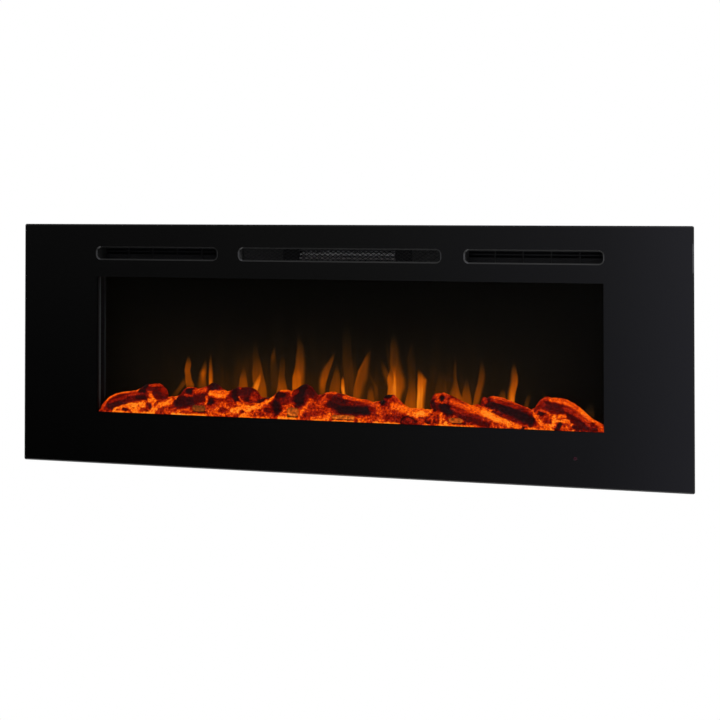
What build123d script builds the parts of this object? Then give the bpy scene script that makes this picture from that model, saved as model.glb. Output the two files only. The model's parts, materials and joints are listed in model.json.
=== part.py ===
"""Wall-recessed linear electric fireplace, as separate pieces in one frame.

+X runs along the fireplace, +Y goes into the wall and +Z is up. The origin is the centre of the
four wall screws, on the wall plane, at the mid-height of the front glass. Millimetres throughout.
"""
from build123d import *
import os
from math import atan2, cos, degrees, pi, radians, sin

os.makedirs("parts", exist_ok=True)

# ---- front glass --------------------------------------------------------------------------
PANEL_W = 1524.0        # width of the glass front
PANEL_H = 546.0         # its height
PANEL_R = 4.0           # its corner radius
GLASS_T = 5.0           # its thickness
GLASS_BEVEL = 3.0       # polished bevel round the glass and round each slot
FRONT_GAP = 20.0        # from the front face to the wall plane
WINDOW_SIDE = 184.0     # glass edge to the clear window, left and right
WINDOW_FOOT = 116.0     # lower glass edge to the window
ENAMEL_T = 0.3          # black enamel fired on the back of the glass
SLOT_DROP = 66.3        # upper glass edge to the middle of the three air slots
SLOT_H = 31.0           # slot height over its bevel
SLOT_R = 12.0           # slot corner radius over its bevel
SIDE_SLOT_W = 299.0
HEAT_SLOT_W = 465.0     # warm air outlet, centred
SLOT_SPACE = 48.3       # between neighbouring slots

# ---- steel sheet housing ------------------------------------------------------------------
GLASS_REACH_X = 42.0    # glass past the recessed housing, left and right
GLASS_REACH_Z = 38.0    # the same, above and below
BOX_D = 120.0           # housing depth behind the wall plane
SHEET = 1.2             # steel sheet of housing, ducts and liners
SIDE_FLANGE = 25.0      # wall flange outside the housing, left and right
END_FLANGE = 20.0       # the same, above and below
SCREW_OUT = 13.0        # housing side to the wall screw holes
SCREW_Z = 150.0
SCREW_R = 3.0
SHELF_DROP = 46.7       # middle of the slots to the shelf's underside
SHELF_LIP = 10.0
WINDOW_LAP = 7.0        # shelf to the window's upper edge
BEAD_MID = 60.0         # middle of the back sheet to its stiffening beads
BEAD_SIDE = 100.0       # housing side to the beads
BEAD_H = 14.0
BEAD_DEPTH = 2.0
BEAD_Z = (110.0, 10.0, -90.0)

# ---- glass carrier frame ------------------------------------------------------------------
RAIL_INSET = 6.0        # from the glass edge to the carrier
RAIL_LIP = 28.0         # front lip that the glass is bonded to
RAIL_REAR = 16.0        # rear lip that lies on the wall flange
RAIL_T = 1.2
HOOK_IN = 25.0          # outer face of the carrier to the inner face of a hook
HOOK_T = 1.5
HOOK_Z = 92.0           # where a hook's neck sits on its slot, above and below the middle
HOOK_NECK = 16.0
HOOK_NOSE = 8.0

# ---- air path -----------------------------------------------------------------------------
DUCT_SIDE_GAP = 2.0     # duct wall outside the slot's hole, at each end
DUCT_EDGE_GAP = 2.5     # the same, above and below
DUCT_LIP = 6.0
INTAKE_D = 34.0         # how far the intake ducts reach behind the wall plane
GRILLE_Y = 30.0
GRILLE_T = 2.0
GRILLE_PITCH = 60.7     # between the vertical ribs
GRILLE_RIB = 4.0
GRILLE_SLOT = 5.0       # height of each of the two rows of slots
GRILLE_BAR = 2.8        # bar between the rows
GRILLE_RISE = 3.0       # the rows sit above the duct's centre
GUARD_Y = 5.0           # wire guard in the heat outlet
GUARD_WIRE = 1.2
GUARD_SPLIT = 0.1       # between the two layers of wire
GUARD_PITCH = 12.4      # diamond width
GUARD_DIAMOND = 7.6     # diamond height
GUARD_BORDER = 2.5
THROAT_DROP = 9.7       # middle of the slots to the middle of heater and blower
HEATER_W = 224.0        # finned heater block
HEATER_H = 42.0
HEATER_D = 14.0
HEATER_END = 38.0       # moulded end block
HEATER_GAP = 0.5        # heater to its collar
FIN_PITCH = 11.0
FIN_T = 0.6
TUBE_T = 4.0            # flat heating tubes that the fins join

WHEEL_R = 24.0          # tangential blower wheel
WHEEL_L = 204.0
WHEEL_BLADES = 16
BLADE_DEPTH = 6.0
BLADE_T = 0.9
DISC_T = 1.6            # end discs and middle disc
HUB_L = 6.0             # hub inside each end disc
WHEEL_SHAFT_R = 2.5
BUSH_L = 6.0            # shaft past the left end plate's inner face
SCROLL_GAP = 3.0        # wheel to scroll
SCROLL_T = 1.0
SCROLL_BACK = 0.8       # scroll to the housing's back
HEATER_BACK = 2.0       # heater to wheel
END_GAP = 2.0           # wheel to each end plate
MOTOR_HALF = 22.0       # half the side of the motor's square stack of laminations
MOTOR_L = 40.0
STACK_T = 18.0
COIL_DROP = 8.0         # coil below the stack
BRIDGE_W = 14.0         # bearing bridges in front of and behind the stack
RUN_FIT = 0.05          # radial clearance of a shaft in its bush

# ---- firebox ------------------------------------------------------------------------------
CHEEK_LIP = 14.0
CHEEK_HEM = 0.8
CHEEK_HEM_D = 10.0
REAR_LIP = 2.5
SCREEN_Y = 27.0         # translucent flame screen
SCREEN_T = 2.0
SCREEN_LAP = 21.0       # screen past the window, left and right
CHANNEL_GAP = 0.3       # screen to its channels
CHANNEL_H = 8.0
LINER_GAP = 0.3         # firebox sheets to the enamel
BED_GAP = 2.4           # bed to the front edge of the firebox floor
BED_D = 35.5
BED_WALL = 3.0
BED_H = 41.0            # highest crest of the bed's moulded top
BED_LIP_H = 19.0        # height of the bed's front face
BED_SIDE_GAP = 1.5
BED_BROW = 8.0          # where the sloping front meets the top, behind the wall plane
EMBER_HOLES = ((-331.0, 44.0, 11.0), (-108.0, 42.0, 14.0), (8.0, 62.0, 10.0), (256.0, 38.0, 11.0))
EMBER_HOLE_H = 10.0     # height of their middle over the floor
BED_CRESTS = (          # place along the bed, and how far its top lies under the highest crest
    (-520, 1), (-470, 0), (-420, 9), (-372, 1), (-310, 0), (-250, 3), (-190, 5), (-120, 0), (-56, 3),
    (0, 1), (60, 6), (110, 8), (148, 14), (190, 14), (236, 1), (320, 2), (404, 9), (450, 1), (500, 0),
)
BED_END_DROP = 9.0      # the same at both ends of the bed
STUBS = ((153.0, 9.0, 14.0), (498.0, 7.0, 17.0))   # sawn ends: place, height over floor, radius
STUB_SIDES = 12
STUB_OUT = 1.4          # a sawn end stands in front of the bed's face
LOG_SIDES = 9           # flat faces round a log
LAYOUT_HALF = 578.0     # half the window that logs, crests, holes and flames are laid out for

# ---- flame picture ------------------------------------------------------------------------
MASK_GAP = 34.0         # mask to the rotor's axis
MASK_T = 1.0
MASK_LAP = 18.0         # mask past the window, left and right
MASK_DROP = 40.0        # shelf to the mask's upper edge
FLAME_FOOT = 45.0       # firebox floor to the foot of the cut-outs
FLAMES = (              # centre, width and height of each flame-shaped cut-out, and its lean
    (-480, 22, 45, 4), (-424, 24, 62, 6), (-366, 26, 78, -5), (-308, 28, 92, 6), (-246, 22, 70, -4),
    (-196, 30, 118, 5), (-142, 26, 96, -6), (-90, 34, 136, 6), (-34, 28, 84, 9), (20, 34, 165, -6),
    (74, 28, 96, 8), (128, 38, 142, -4), (186, 26, 112, 6), (246, 24, 82, -5), (308, 30, 88, 7),
    (376, 28, 80, 5), (440, 22, 56, -5), (500, 20, 44, 4),
)
ROTOR_GAP = 30.0        # rotor's axis to the light rail
ROTOR_RISE = 37.0       # rotor's axis over the firebox floor
ROTOR_SHAFT_R = 2.5
JOURNAL_L = 15.0        # journal past each bracket's inner face
ROTOR_END_GAP = 10.0    # petals to the brackets
ROTOR_SETS = 12
PETAL_GAP = 24.6        # between neighbouring sets
PETAL_R = 19.0
PETAL_T = 0.8
PETAL_TURN = 42.0       # turn from one set of petals to the next
BAR_R = 3.2             # hexagonal bar of the rotor, over its corners
HUB_R = 4.5
BRACKET_IN = 12.0       # window edge to the bearing bracket
BRACKET_T = 2.0
BRACKET_HALF = 14.0
ROTOR_MOTOR_HALF = 24.0     # half the side of the rotor's motor
ROTOR_MOTOR_L = 24.0
LED_RAIL_GAP = 8.8      # light rail to the housing's back
LED_RAIL_RISE = 9.0     # its upper edge over the firebox floor
LED_STRIP_H = 12.0
LED_STRIP_T = 1.6
LED_PITCH = 72.0
LED_SIZE = 3.5

# ---- controls and power -------------------------------------------------------------------
FASCIA_GAP = 5.5        # enamel to the lower fascia
FASCIA_LAP = 22.0       # fascia past the window, left and right
TOUCH_RISE = 59.0       # lower glass edge to the lamp and the sensing posts
TOUCH_H = 20.0
TOUCH_L = 155.0
PCB_T = 1.6
LAMP_IN = 59.0          # window edge to the power lamp
LAMP_MARGIN = 26.0      # lamp to the end of its board
LAMP_R = 2.0
LAMP_GAP = 0.2          # lamp to its hole in the enamel, and to the glass
TOUCH_PITCH = 22.0
BOARD_W = 88.0
BOARD_D = 90.0
BOARD_BACK = 14.8       # power board to the housing's back
BOARD_SIDE = 18.8       # power board to the housing's right side
BOARD_POST = 8.0
SWITCH_Y = 60.0
SWITCH_RISE = 85.0      # housing bottom to the rocker switch
SWITCH_W = 13.0         # panel cut-out for the rocker switch
SWITCH_H = 19.4
SWITCH_WALL = 1.2
SWITCH_BEZEL = 1.6
SWITCH_D = 16.0
SWITCH_FIT = 0.2
ROCKER_GAP = 0.35       # rocker to its housing, at the sides
ROCKER_END_GAP = 1.1    # the same at the ends, which swing
ROCKER_TILT = 7.0
PIVOT_DEPTH = 4.0
PIN_R = 1.2
GLAND_BACK = 24.0       # cable gland to the housing's back face
GLAND_RISE = 45.0       # housing bottom to the gland
GLAND_R = 6.0
GLAND_BORE = 3.4

# ---- places worked out from the sizes above -----------------------------------------------
Y_FRONT = -FRONT_GAP
Y_GLASS = Y_FRONT + GLASS_T
Y_CARRIER = Y_GLASS + ENAMEL_T
Z_GLASS = PANEL_H / 2
X_BOX = PANEL_W / 2 - GLASS_REACH_X
Z_BOX = Z_GLASS - GLASS_REACH_Z
X_IN = X_BOX - SHEET
Z_IN = Z_BOX - SHEET
Y_IN = BOX_D - SHEET
SCREW_X = X_BOX + SCREW_OUT
HOOK_X = PANEL_W / 2 - RAIL_INSET - HOOK_IN
SLOT_Z = Z_GLASS - SLOT_DROP
SHELF_Z = SLOT_Z - SHELF_DROP
THROAT_Z = SLOT_Z - THROAT_DROP
X_WINDOW = PANEL_W / 2 - WINDOW_SIDE
WINDOW_TOP = SHELF_Z - WINDOW_LAP
FLOOR_Z = WINDOW_FOOT - Z_GLASS
SIDE_SLOT_X = (HEAT_SLOT_W + SIDE_SLOT_W) / 2 + SLOT_SPACE
SLOT_HOLE_H = SLOT_H - 2 * GLASS_BEVEL
DUCT_H = SLOT_HOLE_H + 2 * DUCT_EDGE_GAP
SHELF_TOP = SHELF_Z + SHEET
COLLAR_W = HEATER_W / 2 + HEATER_END + HEATER_GAP
COLLAR_Z = (THROAT_Z - HEATER_H / 2 - HEATER_GAP, THROAT_Z + HEATER_H / 2 + HEATER_GAP)
SCROLL_R = WHEEL_R + SCROLL_GAP
WHEEL_Y = Y_IN - SCROLL_BACK - SCROLL_T - SCROLL_R
COLLAR_END = WHEEL_Y - WHEEL_R
THROAT_Y = COLLAR_END - HEATER_BACK - HEATER_D
PLATE_X = WHEEL_L / 2 + END_GAP
FLOOR_Y = (Y_CARRIER + LINER_GAP, SCREEN_Y + 2 * SCREEN_T)
BED_Y = (FLOOR_Y[0] + BED_GAP, FLOOR_Y[0] + BED_GAP + BED_D)
BED_TOP = FLOOR_Z + BED_H
BED_LIP = FLOOR_Z + BED_LIP_H
LED_RAIL_Y = Y_IN - LED_RAIL_GAP
ROTOR_Y = LED_RAIL_Y - ROTOR_GAP
ROTOR_Z = FLOOR_Z + ROTOR_RISE
MASK_Y = ROTOR_Y - MASK_GAP
BRACKET_X = X_WINDOW - BRACKET_IN
ROTOR_HALF = BRACKET_X - ROTOR_END_GAP
FASCIA_Y = Y_CARRIER + FASCIA_GAP
LAMP_X = X_WINDOW - LAMP_IN
TOUCH_Z = TOUCH_RISE - Z_GLASS
TOUCH_X = (LAMP_X + LAMP_MARGIN - TOUCH_L, LAMP_X + LAMP_MARGIN)
BOARD_X = (X_IN - BOARD_SIDE - BOARD_W, X_IN - BOARD_SIDE)
BOARD_Y = (Y_IN - BOARD_BACK - BOARD_D, Y_IN - BOARD_BACK)
SWITCH_Z = SWITCH_RISE - Z_BOX
GLAND_Y = BOX_D - GLAND_BACK
GLAND_Z = GLAND_RISE - Z_BOX
SWITCH_PIVOT_X = X_BOX - PIVOT_DEPTH


def block(x, y, z):
    """A box between its low and high plane on each axis."""
    size = [high - low for low, high in (x, y, z)]
    middle = [(low + high) / 2 for low, high in (x, y, z)]
    return Pos(*middle) * Box(*size)


def rod_x(radius, x, y, z):
    """A cylinder along X."""
    return Pos((x[0] + x[1]) / 2, y, z) * Rot(0, 90, 0) * Cylinder(radius, x[1] - x[0])


def hex_x(radius, x, y, z):
    """A hexagonal prism along X, with its radius over the corners."""
    return Pos(x[0], y, z) * Rot(0, 90, 0) * extrude(RegularPolygon(radius, 6), x[1] - x[0])


def rod_y(radius, x, y, z):
    """A cylinder along Y."""
    return Pos(x, (y[0] + y[1]) / 2, z) * Rot(90, 0, 0) * Cylinder(radius, y[1] - y[0])


def along_x(points, x):
    """A closed outline of (y, z) points, extruded along X."""
    outline = make_face(Polyline(*[(x[0], y, z) for y, z in points], close=True))
    return extrude(outline, x[1] - x[0], dir=(1, 0, 0))


def along_z(points, z):
    """A closed outline of (x, y) points, extruded along Z."""
    outline = make_face(Polyline(*[(x, y, z[0]) for x, y in points], close=True))
    return extrude(outline, z[1] - z[0], dir=(0, 0, 1))


def along_y(sketch, y):
    """A sketch in X and Z, extruded along Y."""
    return extrude(Plane.XZ.offset(-y[0]) * sketch, y[1] - y[0], dir=(0, 1, 0))


def flat_face(points):
    return Face(Wire.make_polygon([Vector(*point) for point in points], close=True))


def skin(rings):
    """A closed solid of flat triangles through rings with the same count of points."""
    faces = [flat_face(rings[0]), flat_face(rings[-1])]
    count = len(rings[0])
    for near, far in zip(rings, rings[1:]):
        for i in range(count):
            after = (i + 1) % count
            faces.append(flat_face([near[i], near[after], far[i]]))
            faces.append(flat_face([near[after], far[after], far[i]]))
    solid = Solid(Shell(faces))
    return solid if solid.volume > 0 else Solid(Shell([-face for face in faces]))


def mirrored(shape):
    """The same piece on the left side."""
    return mirror(shape, about=Plane.YZ)


def save(name, shape):
    export_step(shape, f"parts/{name}.step")


# ---- glass and its carrier ----------------------------------------------------------------
def slot_hole(width, x):
    """The hole of one air slot, inside its bevel."""
    hole = RectangleRounded(width - 2 * GLASS_BEVEL, SLOT_HOLE_H, SLOT_R - GLASS_BEVEL)
    return Pos(x, SLOT_Z) * hole


def front_glass():
    sheet = RectangleRounded(PANEL_W, PANEL_H, PANEL_R)
    sheet -= slot_hole(SIDE_SLOT_W, -SIDE_SLOT_X)
    sheet -= slot_hole(HEAT_SLOT_W, 0)
    sheet -= slot_hole(SIDE_SLOT_W, SIDE_SLOT_X)
    glass = along_y(sheet, (Y_FRONT, Y_GLASS))
    front = glass.faces().sort_by(Axis.Y)[0]
    return chamfer(front.edges(), GLASS_BEVEL)


def glass_enamel():
    """The black enamel behind the glass, clear at the window, the slots and the lamp."""
    margin = 2 * GLASS_BEVEL
    layer = Rectangle(PANEL_W - margin, PANEL_H - margin)
    middle = (WINDOW_TOP + FLOOR_Z) / 2
    layer -= Pos(0, middle) * Rectangle(2 * X_WINDOW, WINDOW_TOP - FLOOR_Z)
    for x, width in ((-SIDE_SLOT_X, SIDE_SLOT_W), (0, HEAT_SLOT_W), (SIDE_SLOT_X, SIDE_SLOT_W)):
        layer -= Pos(x, SLOT_Z) * Rectangle(width, SLOT_H)
    layer -= Pos(LAMP_X, TOUCH_Z) * Circle(LAMP_R + LAMP_GAP)
    return along_y(layer, (Y_GLASS, Y_CARRIER))


def rail_outline(edge, inward):
    """The carrier's channel section: distance from the middle, and depth."""
    front = Y_CARRIER
    rear = -SHEET
    steps = (
        (0, front), (RAIL_LIP, front), (RAIL_LIP, front + RAIL_T), (RAIL_T, front + RAIL_T),
        (RAIL_T, rear - RAIL_T), (RAIL_REAR, rear - RAIL_T), (RAIL_REAR, rear), (0, rear),
    )
    return [(edge + inward * step, depth) for step, depth in steps]


def frame_rail_long(side):
    """The rail along the top or the bottom edge."""
    edge = side * (PANEL_H / 2 - RAIL_INSET)
    section = [(depth, place) for place, depth in rail_outline(edge, -side)]
    half = PANEL_W / 2 - RAIL_INSET
    return along_x(section, (-half, half))


def hook_outline(neck):
    """A hanging hook in Y and Z: its neck sits in a flange slot and its nose drops behind."""
    base = Y_CARRIER + RAIL_T
    low = neck - HOOK_NOSE
    top = neck + HOOK_NECK
    front = -SHEET - CHANNEL_GAP
    back = CHANNEL_GAP
    return [
        (base, low), (front, low), (front, neck), (back, neck),
        (back, low), (back + HOOK_NOSE / 2, low), (back + HOOK_NOSE / 2, top), (base, top),
    ]


def frame_rail_side():
    """The right-hand rail with its two welded hooks."""
    edge = PANEL_W / 2 - RAIL_INSET
    half = PANEL_H / 2 - RAIL_INSET - RAIL_LIP
    rail = along_z(rail_outline(edge, -1), (-half, half))
    for neck in (HOOK_Z, -HOOK_Z):
        rail += along_x(hook_outline(neck), (HOOK_X, HOOK_X + HOOK_T))
    return rail


# ---- housing ------------------------------------------------------------------------------
def cut_corners(width, height, cut):
    """A rectangle with its corners cut off."""
    return chamfer(Rectangle(width, height).vertices(), cut)


def housing_back():
    """The back sheet, with beads pressed inwards below the shelf."""
    back = block((-X_BOX, X_BOX), (Y_IN, BOX_D), (-Z_BOX, Z_BOX))
    length = X_BOX - BEAD_SIDE - BEAD_MID
    bead = cut_corners(length, BEAD_H, BEAD_H * 0.4)
    sunk = cut_corners(length - 2 * SHEET, BEAD_H - 2 * SHEET, BEAD_H * 0.3)
    for side in (-1, 1):
        for z in BEAD_Z:
            place = Pos(side * (BEAD_MID + length / 2), z)
            back += along_y(place * bead, (Y_IN - BEAD_DEPTH, Y_IN))
            back -= along_y(place * sunk, (BOX_D - BEAD_DEPTH, BOX_D + 1))
    return back


def housing_top():
    web = block((-X_BOX, X_BOX), (0, Y_IN), (Z_IN, Z_BOX))
    reach = X_BOX + SIDE_FLANGE
    flange = block((-reach, reach), (-SHEET, 0), (Z_IN, Z_BOX + END_FLANGE))
    return web + flange


def housing_side():
    """The right-hand side with its wall flange, screw holes and hook slots."""
    side = block((X_IN, X_BOX), (0, Y_IN), (-Z_IN, Z_IN))
    side += block((X_IN, X_BOX + SIDE_FLANGE), (-SHEET, 0), (-Z_IN, Z_IN))
    slot_h = HOOK_NECK + 2 * HOOK_NOSE
    for up in (1, -1):
        side -= rod_y(SCREW_R, SCREW_X, (-2 * SHEET, SHEET), up * SCREW_Z)
        neck = up * HOOK_Z
        slot_x = (HOOK_X - HOOK_T, HOOK_X + 2 * HOOK_T)
        side -= block(slot_x, (-2 * SHEET, SHEET), (neck, neck + slot_h))
    return side


def housing_right():
    """The right-hand side, cut for the rocker switch and the cable gland."""
    side = housing_side()
    through = (X_IN - 1, X_BOX + 1)
    tall = (SWITCH_Z - SWITCH_H / 2, SWITCH_Z + SWITCH_H / 2)
    side -= block(through, (SWITCH_Y - SWITCH_W / 2, SWITCH_Y + SWITCH_W / 2), tall)
    return side - rod_x(GLAND_R + RUN_FIT, through, GLAND_Y, GLAND_Z)


def compartment_shelf():
    floor = block((-X_IN, X_IN), (0, Y_IN), (SHELF_Z, SHELF_TOP))
    return floor + block((-X_IN, X_IN), (0, SHEET), (SHELF_TOP, SHELF_TOP + SHELF_LIP))


# ---- intake ducts and grilles -------------------------------------------------------------
def duct_half(slot_w):
    """Half the inner width of the duct behind a slot."""
    return slot_w / 2 - GLASS_BEVEL + DUCT_SIDE_GAP


def intake_duct():
    """The right-hand intake duct, with a lip behind the glass."""
    half = duct_half(SIDE_SLOT_W)
    tall = DUCT_H / 2
    lip = Rectangle(2 * (half + DUCT_LIP), 2 * (tall + DUCT_LIP))
    tube = Rectangle(2 * (half + SHEET), 2 * (tall + SHEET))
    duct = along_y(lip, (Y_CARRIER, Y_CARRIER + SHEET)) + along_y(tube, (Y_CARRIER, INTAKE_D))
    duct -= along_y(Rectangle(2 * half, 2 * tall), (Y_CARRIER - 1, INTAKE_D + 1))
    return Pos(SIDE_SLOT_X, 0, SLOT_Z) * duct


def intake_grille():
    """Five columns and two rows of slots between moulded ribs."""
    half = duct_half(SIDE_SLOT_W) - RUN_FIT
    tall = DUCT_H / 2 - RUN_FIT
    plate = Rectangle(2 * half, 2 * tall)
    pitch_z = GRILLE_SLOT + GRILLE_BAR
    columns = round(2 * half / GRILLE_PITCH)
    slot_w = GRILLE_PITCH - GRILLE_RIB
    holes = Pos(0, GRILLE_RISE) * GridLocations(GRILLE_PITCH, pitch_z, columns, 2)
    plate -= [spot * Rectangle(slot_w, GRILLE_SLOT) for spot in holes]
    ribs = [Pos((i - columns / 2) * GRILLE_PITCH, 0) * Rectangle(GRILLE_RIB / 2, 2 * tall)
            for i in range(1, columns)]
    grille = along_y(plate, (GRILLE_Y, GRILLE_Y + GRILLE_T))
    for rib in ribs:
        grille += along_y(rib, (GRILLE_Y - GRILLE_T, GRILLE_Y))
    return Pos(SIDE_SLOT_X, 0, SLOT_Z) * grille


# ---- heat outlet --------------------------------------------------------------------------
def ring_points(half, z, y):
    """A rectangle across the duct at one depth."""
    return [(-half, y, z[0]), (half, y, z[0]), (half, y, z[1]), (-half, y, z[1])]


def funnel(grow, slack):
    """The outlet funnel, bigger by grow all round and longer by slack at both ends."""
    wide = duct_half(HEAT_SLOT_W) + grow
    front_z = (SLOT_Z - DUCT_H / 2 - grow, SLOT_Z + DUCT_H / 2 + grow)
    narrow = COLLAR_W + grow
    back_z = (COLLAR_Z[0] - grow, COLLAR_Z[1] + grow)
    bend = GUARD_Y + 3 * GUARD_WIRE
    straight = block((-wide, wide), (Y_CARRIER - slack, bend), front_z)
    cone = skin([ring_points(wide, front_z, bend), ring_points(narrow, back_z, THROAT_Y)])
    collar = block((-narrow, narrow), (THROAT_Y, COLLAR_END + slack), back_z)
    return straight + cone + collar


def outlet_duct():
    wide = duct_half(HEAT_SLOT_W) + DUCT_LIP
    tall = DUCT_H / 2 + DUCT_LIP
    lip_z = (SLOT_Z - tall, SLOT_Z + tall)
    shell = funnel(SHEET, 0) + block((-wide, wide), (Y_CARRIER, Y_CARRIER + SHEET), lip_z)
    return shell - funnel(0, 1)


def guard_wires(lean, y, half, tall):
    """One layer of slanting wires, trimmed to the guard's frame."""
    angle = degrees(atan2(GUARD_DIAMOND, GUARD_PITCH))
    run = tall * GUARD_PITCH / GUARD_DIAMOND
    count = int(2 * half / GUARD_PITCH) + 8
    places = [Pos((i - (count - 1) / 2) * GUARD_PITCH, 0) for i in range(count)]
    wire = Rot(0, 0, lean * angle) * Rectangle(2 * run + 20, GUARD_WIRE)
    field = Sketch() + [place * wire for place in places]
    return along_y(field & Rectangle(2 * half, 2 * tall), (y, y + GUARD_WIRE))


def outlet_guard():
    """A frame that carries two layers of wire, which cross as diamonds."""
    half = duct_half(HEAT_SLOT_W) - RUN_FIT
    tall = DUCT_H / 2 - RUN_FIT
    inner = Rectangle(2 * (half - GUARD_BORDER), 2 * (tall - GUARD_BORDER))
    border = Rectangle(2 * half, 2 * tall) - inner
    guard = along_y(border, (GUARD_Y, GUARD_Y + 2 * GUARD_WIRE + GUARD_SPLIT))
    for lean, y in ((1, GUARD_Y), (-1, GUARD_Y + GUARD_WIRE + GUARD_SPLIT)):
        guard += guard_wires(lean, y, half - GUARD_BORDER / 2, tall - GUARD_BORDER / 2)
    return Pos(0, 0, SLOT_Z) * guard


# ---- heater and blower --------------------------------------------------------------------
def ptc_core():
    """Flat tubes joined by thin upright fins."""
    half = HEATER_W / 2
    y = (THROAT_Y, THROAT_Y + HEATER_D)
    low = THROAT_Z - HEATER_H / 2
    core = block((-half, half), y, (low, low + TUBE_T))
    for share in (0.5, 1.0):
        foot = low + share * (HEATER_H - TUBE_T)
        core += block((-half, half), y, (foot, foot + TUBE_T))
    count = int(HEATER_W / FIN_PITCH)
    for i in range(count):
        x = (i - (count - 1) / 2) * FIN_PITCH
        core += block((x - FIN_T / 2, x + FIN_T / 2), (y[0] + 1, y[1] - 1), (low, low + HEATER_H))
    return core


def ptc_end():
    """The right-hand moulded end block, with two terminal tabs."""
    x = (HEATER_W / 2, HEATER_W / 2 + HEATER_END)
    y = (THROAT_Y, THROAT_Y + HEATER_D)
    z = (THROAT_Z - HEATER_H / 2, THROAT_Z + HEATER_H / 2)
    end = block(x, y, z)
    for drop in (8, 24):
        tab_z = (z[0] + drop, z[0] + drop + 6)
        end += block((x[0] + 5, x[0] + 6), (y[1], y[1] + 1.6), tab_z)
    return end


def blower_blade():
    """One forward-curved blade in section."""
    inner_r = WHEEL_R - BLADE_DEPTH
    hollow = (0.3, inner_r + BLADE_DEPTH / 2)
    tip = (BLADE_DEPTH / 2, WHEEL_R - 0.4)
    back = [(tip[0] + BLADE_T, tip[1]), (BLADE_T, inner_r)]
    return make_face(Polyline((0, inner_r), hollow, tip, *back, close=True))


def blower_wheel():
    """Blades between three discs, with a hub and a stub shaft at each end."""
    half = WHEEL_L / 2
    low = (Align.CENTER, Align.CENTER, Align.MIN)
    blades = Sketch() + [spot * blower_blade() for spot in PolarLocations(0, WHEEL_BLADES)]
    drum = extrude(blades, WHEEL_L)
    disc = Cylinder(WHEEL_R, DISC_T, align=low)
    for place in (0, (WHEEL_L - DISC_T) / 2, WHEEL_L - DISC_T):
        drum += Pos(0, 0, place) * disc
    hub = extrude(RegularPolygon(HUB_R, 6), DISC_T + HUB_L)
    drum += hub
    drum += Pos(0, 0, WHEEL_L - DISC_T - HUB_L) * hub
    wheel = Pos(-half, WHEEL_Y, THROAT_Z) * Rot(0, 90, 0) * drum
    for stub in ((-PLATE_X - BUSH_L, -half), (half, PLATE_X + MOTOR_L - 4)):
        wheel += rod_x(WHEEL_SHAFT_R, stub, WHEEL_Y, THROAT_Z)
    return wheel


def blower_scroll():
    """The curved rear wall and floor that turn the air towards the heater."""
    x = (-PLATE_X, PLATE_X)
    ring = Circle(SCROLL_R + SCROLL_T) - Circle(SCROLL_R)
    reach = SCROLL_R + 10
    top = (reach * cos(radians(30)), reach * sin(radians(30)))
    wedge = make_face(Polyline((0, 0), (0, -reach), (reach, -reach), (reach, 0), top, close=True))
    wall = extrude(Plane.YZ.offset(x[0]) * (ring & wedge), x[1] - x[0], dir=(1, 0, 0))
    wall = Pos(0, WHEEL_Y, THROAT_Z) * wall
    floor_z = (THROAT_Z - SCROLL_R - SCROLL_T, THROAT_Z - SCROLL_R)
    wall += block(x, (COLLAR_END, WHEEL_Y), floor_z)
    return wall + block(x, (COLLAR_END, COLLAR_END + SCROLL_T), (floor_z[0], COLLAR_Z[0]))


def blower_tongue():
    """The lip above the outlet that parts the two air streams."""
    top = COLLAR_Z[1]
    nose = COLLAR_END + 6
    section = [
        (COLLAR_END, top), (nose, top - 1), (nose, top + 0.2), (COLLAR_END + SHEET, top + SHEET),
        (COLLAR_END + SHEET, top + 8), (COLLAR_END, top + 8),
    ]
    return along_x(section, (-PLATE_X, PLATE_X))


def blower_end(hole_r):
    """The right-hand end plate, standing on the shelf."""
    tall = (SHELF_TOP, THROAT_Z + SCROLL_R + 4)
    plate = block((PLATE_X, PLATE_X + SHEET), (COLLAR_END, WHEEL_Y + SCROLL_R + SCROLL_T), tall)
    foot = block((PLATE_X, PLATE_X + 10), (COLLAR_END, WHEEL_Y), (SHELF_TOP, SHELF_TOP + SHEET))
    return plate + foot - rod_x(hole_r, (PLATE_X - 1, PLATE_X + 2 * SHEET), WHEEL_Y, THROAT_Z)


def blower_bush():
    """The left-hand bearing bush, with a hexagonal collar outside its plate."""
    x = -PLATE_X
    bush = rod_x(HUB_R, (x - SHEET, x + 1), WHEEL_Y, THROAT_Z)
    bush += hex_x(HUB_R + 2.5, (x - SHEET - 3, x - SHEET), WHEEL_Y, THROAT_Z)
    return bush - rod_x(WHEEL_SHAFT_R + RUN_FIT, (x - 10, x + 5), WHEEL_Y, THROAT_Z)


def blower_motor():
    """A square stack of laminations with a coil below, between two bearing bridges."""
    plate = PLATE_X + SHEET
    stack = (plate + 8, plate + 8 + STACK_T)
    rear = plate + MOTOR_L
    y = (WHEEL_Y - MOTOR_HALF, WHEEL_Y + MOTOR_HALF)
    z = (THROAT_Z - MOTOR_HALF, THROAT_Z + MOTOR_HALF)
    bridge_y = (WHEEL_Y - BRIDGE_W / 2, WHEEL_Y + BRIDGE_W / 2)
    motor = block(stack, y, z)
    motor += block((stack[0] - 3, stack[1] + 3), bridge_y, (z[0] - COIL_DROP, z[0] + 4))
    motor += block((plate + 2, stack[0]), bridge_y, (z[0] + 6, z[1]))
    motor += block((stack[1], rear), bridge_y, (z[0] + 6, z[1]))
    motor += block((plate + 5, rear - 3), bridge_y, (z[1], z[1] + 3))
    motor += rod_x(HUB_R + 3, (plate, plate + 2), WHEEL_Y, THROAT_Z)
    return motor - rod_x(WHEEL_SHAFT_R + RUN_FIT, (plate - 1, rear - 3), WHEEL_Y, THROAT_Z)


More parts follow.
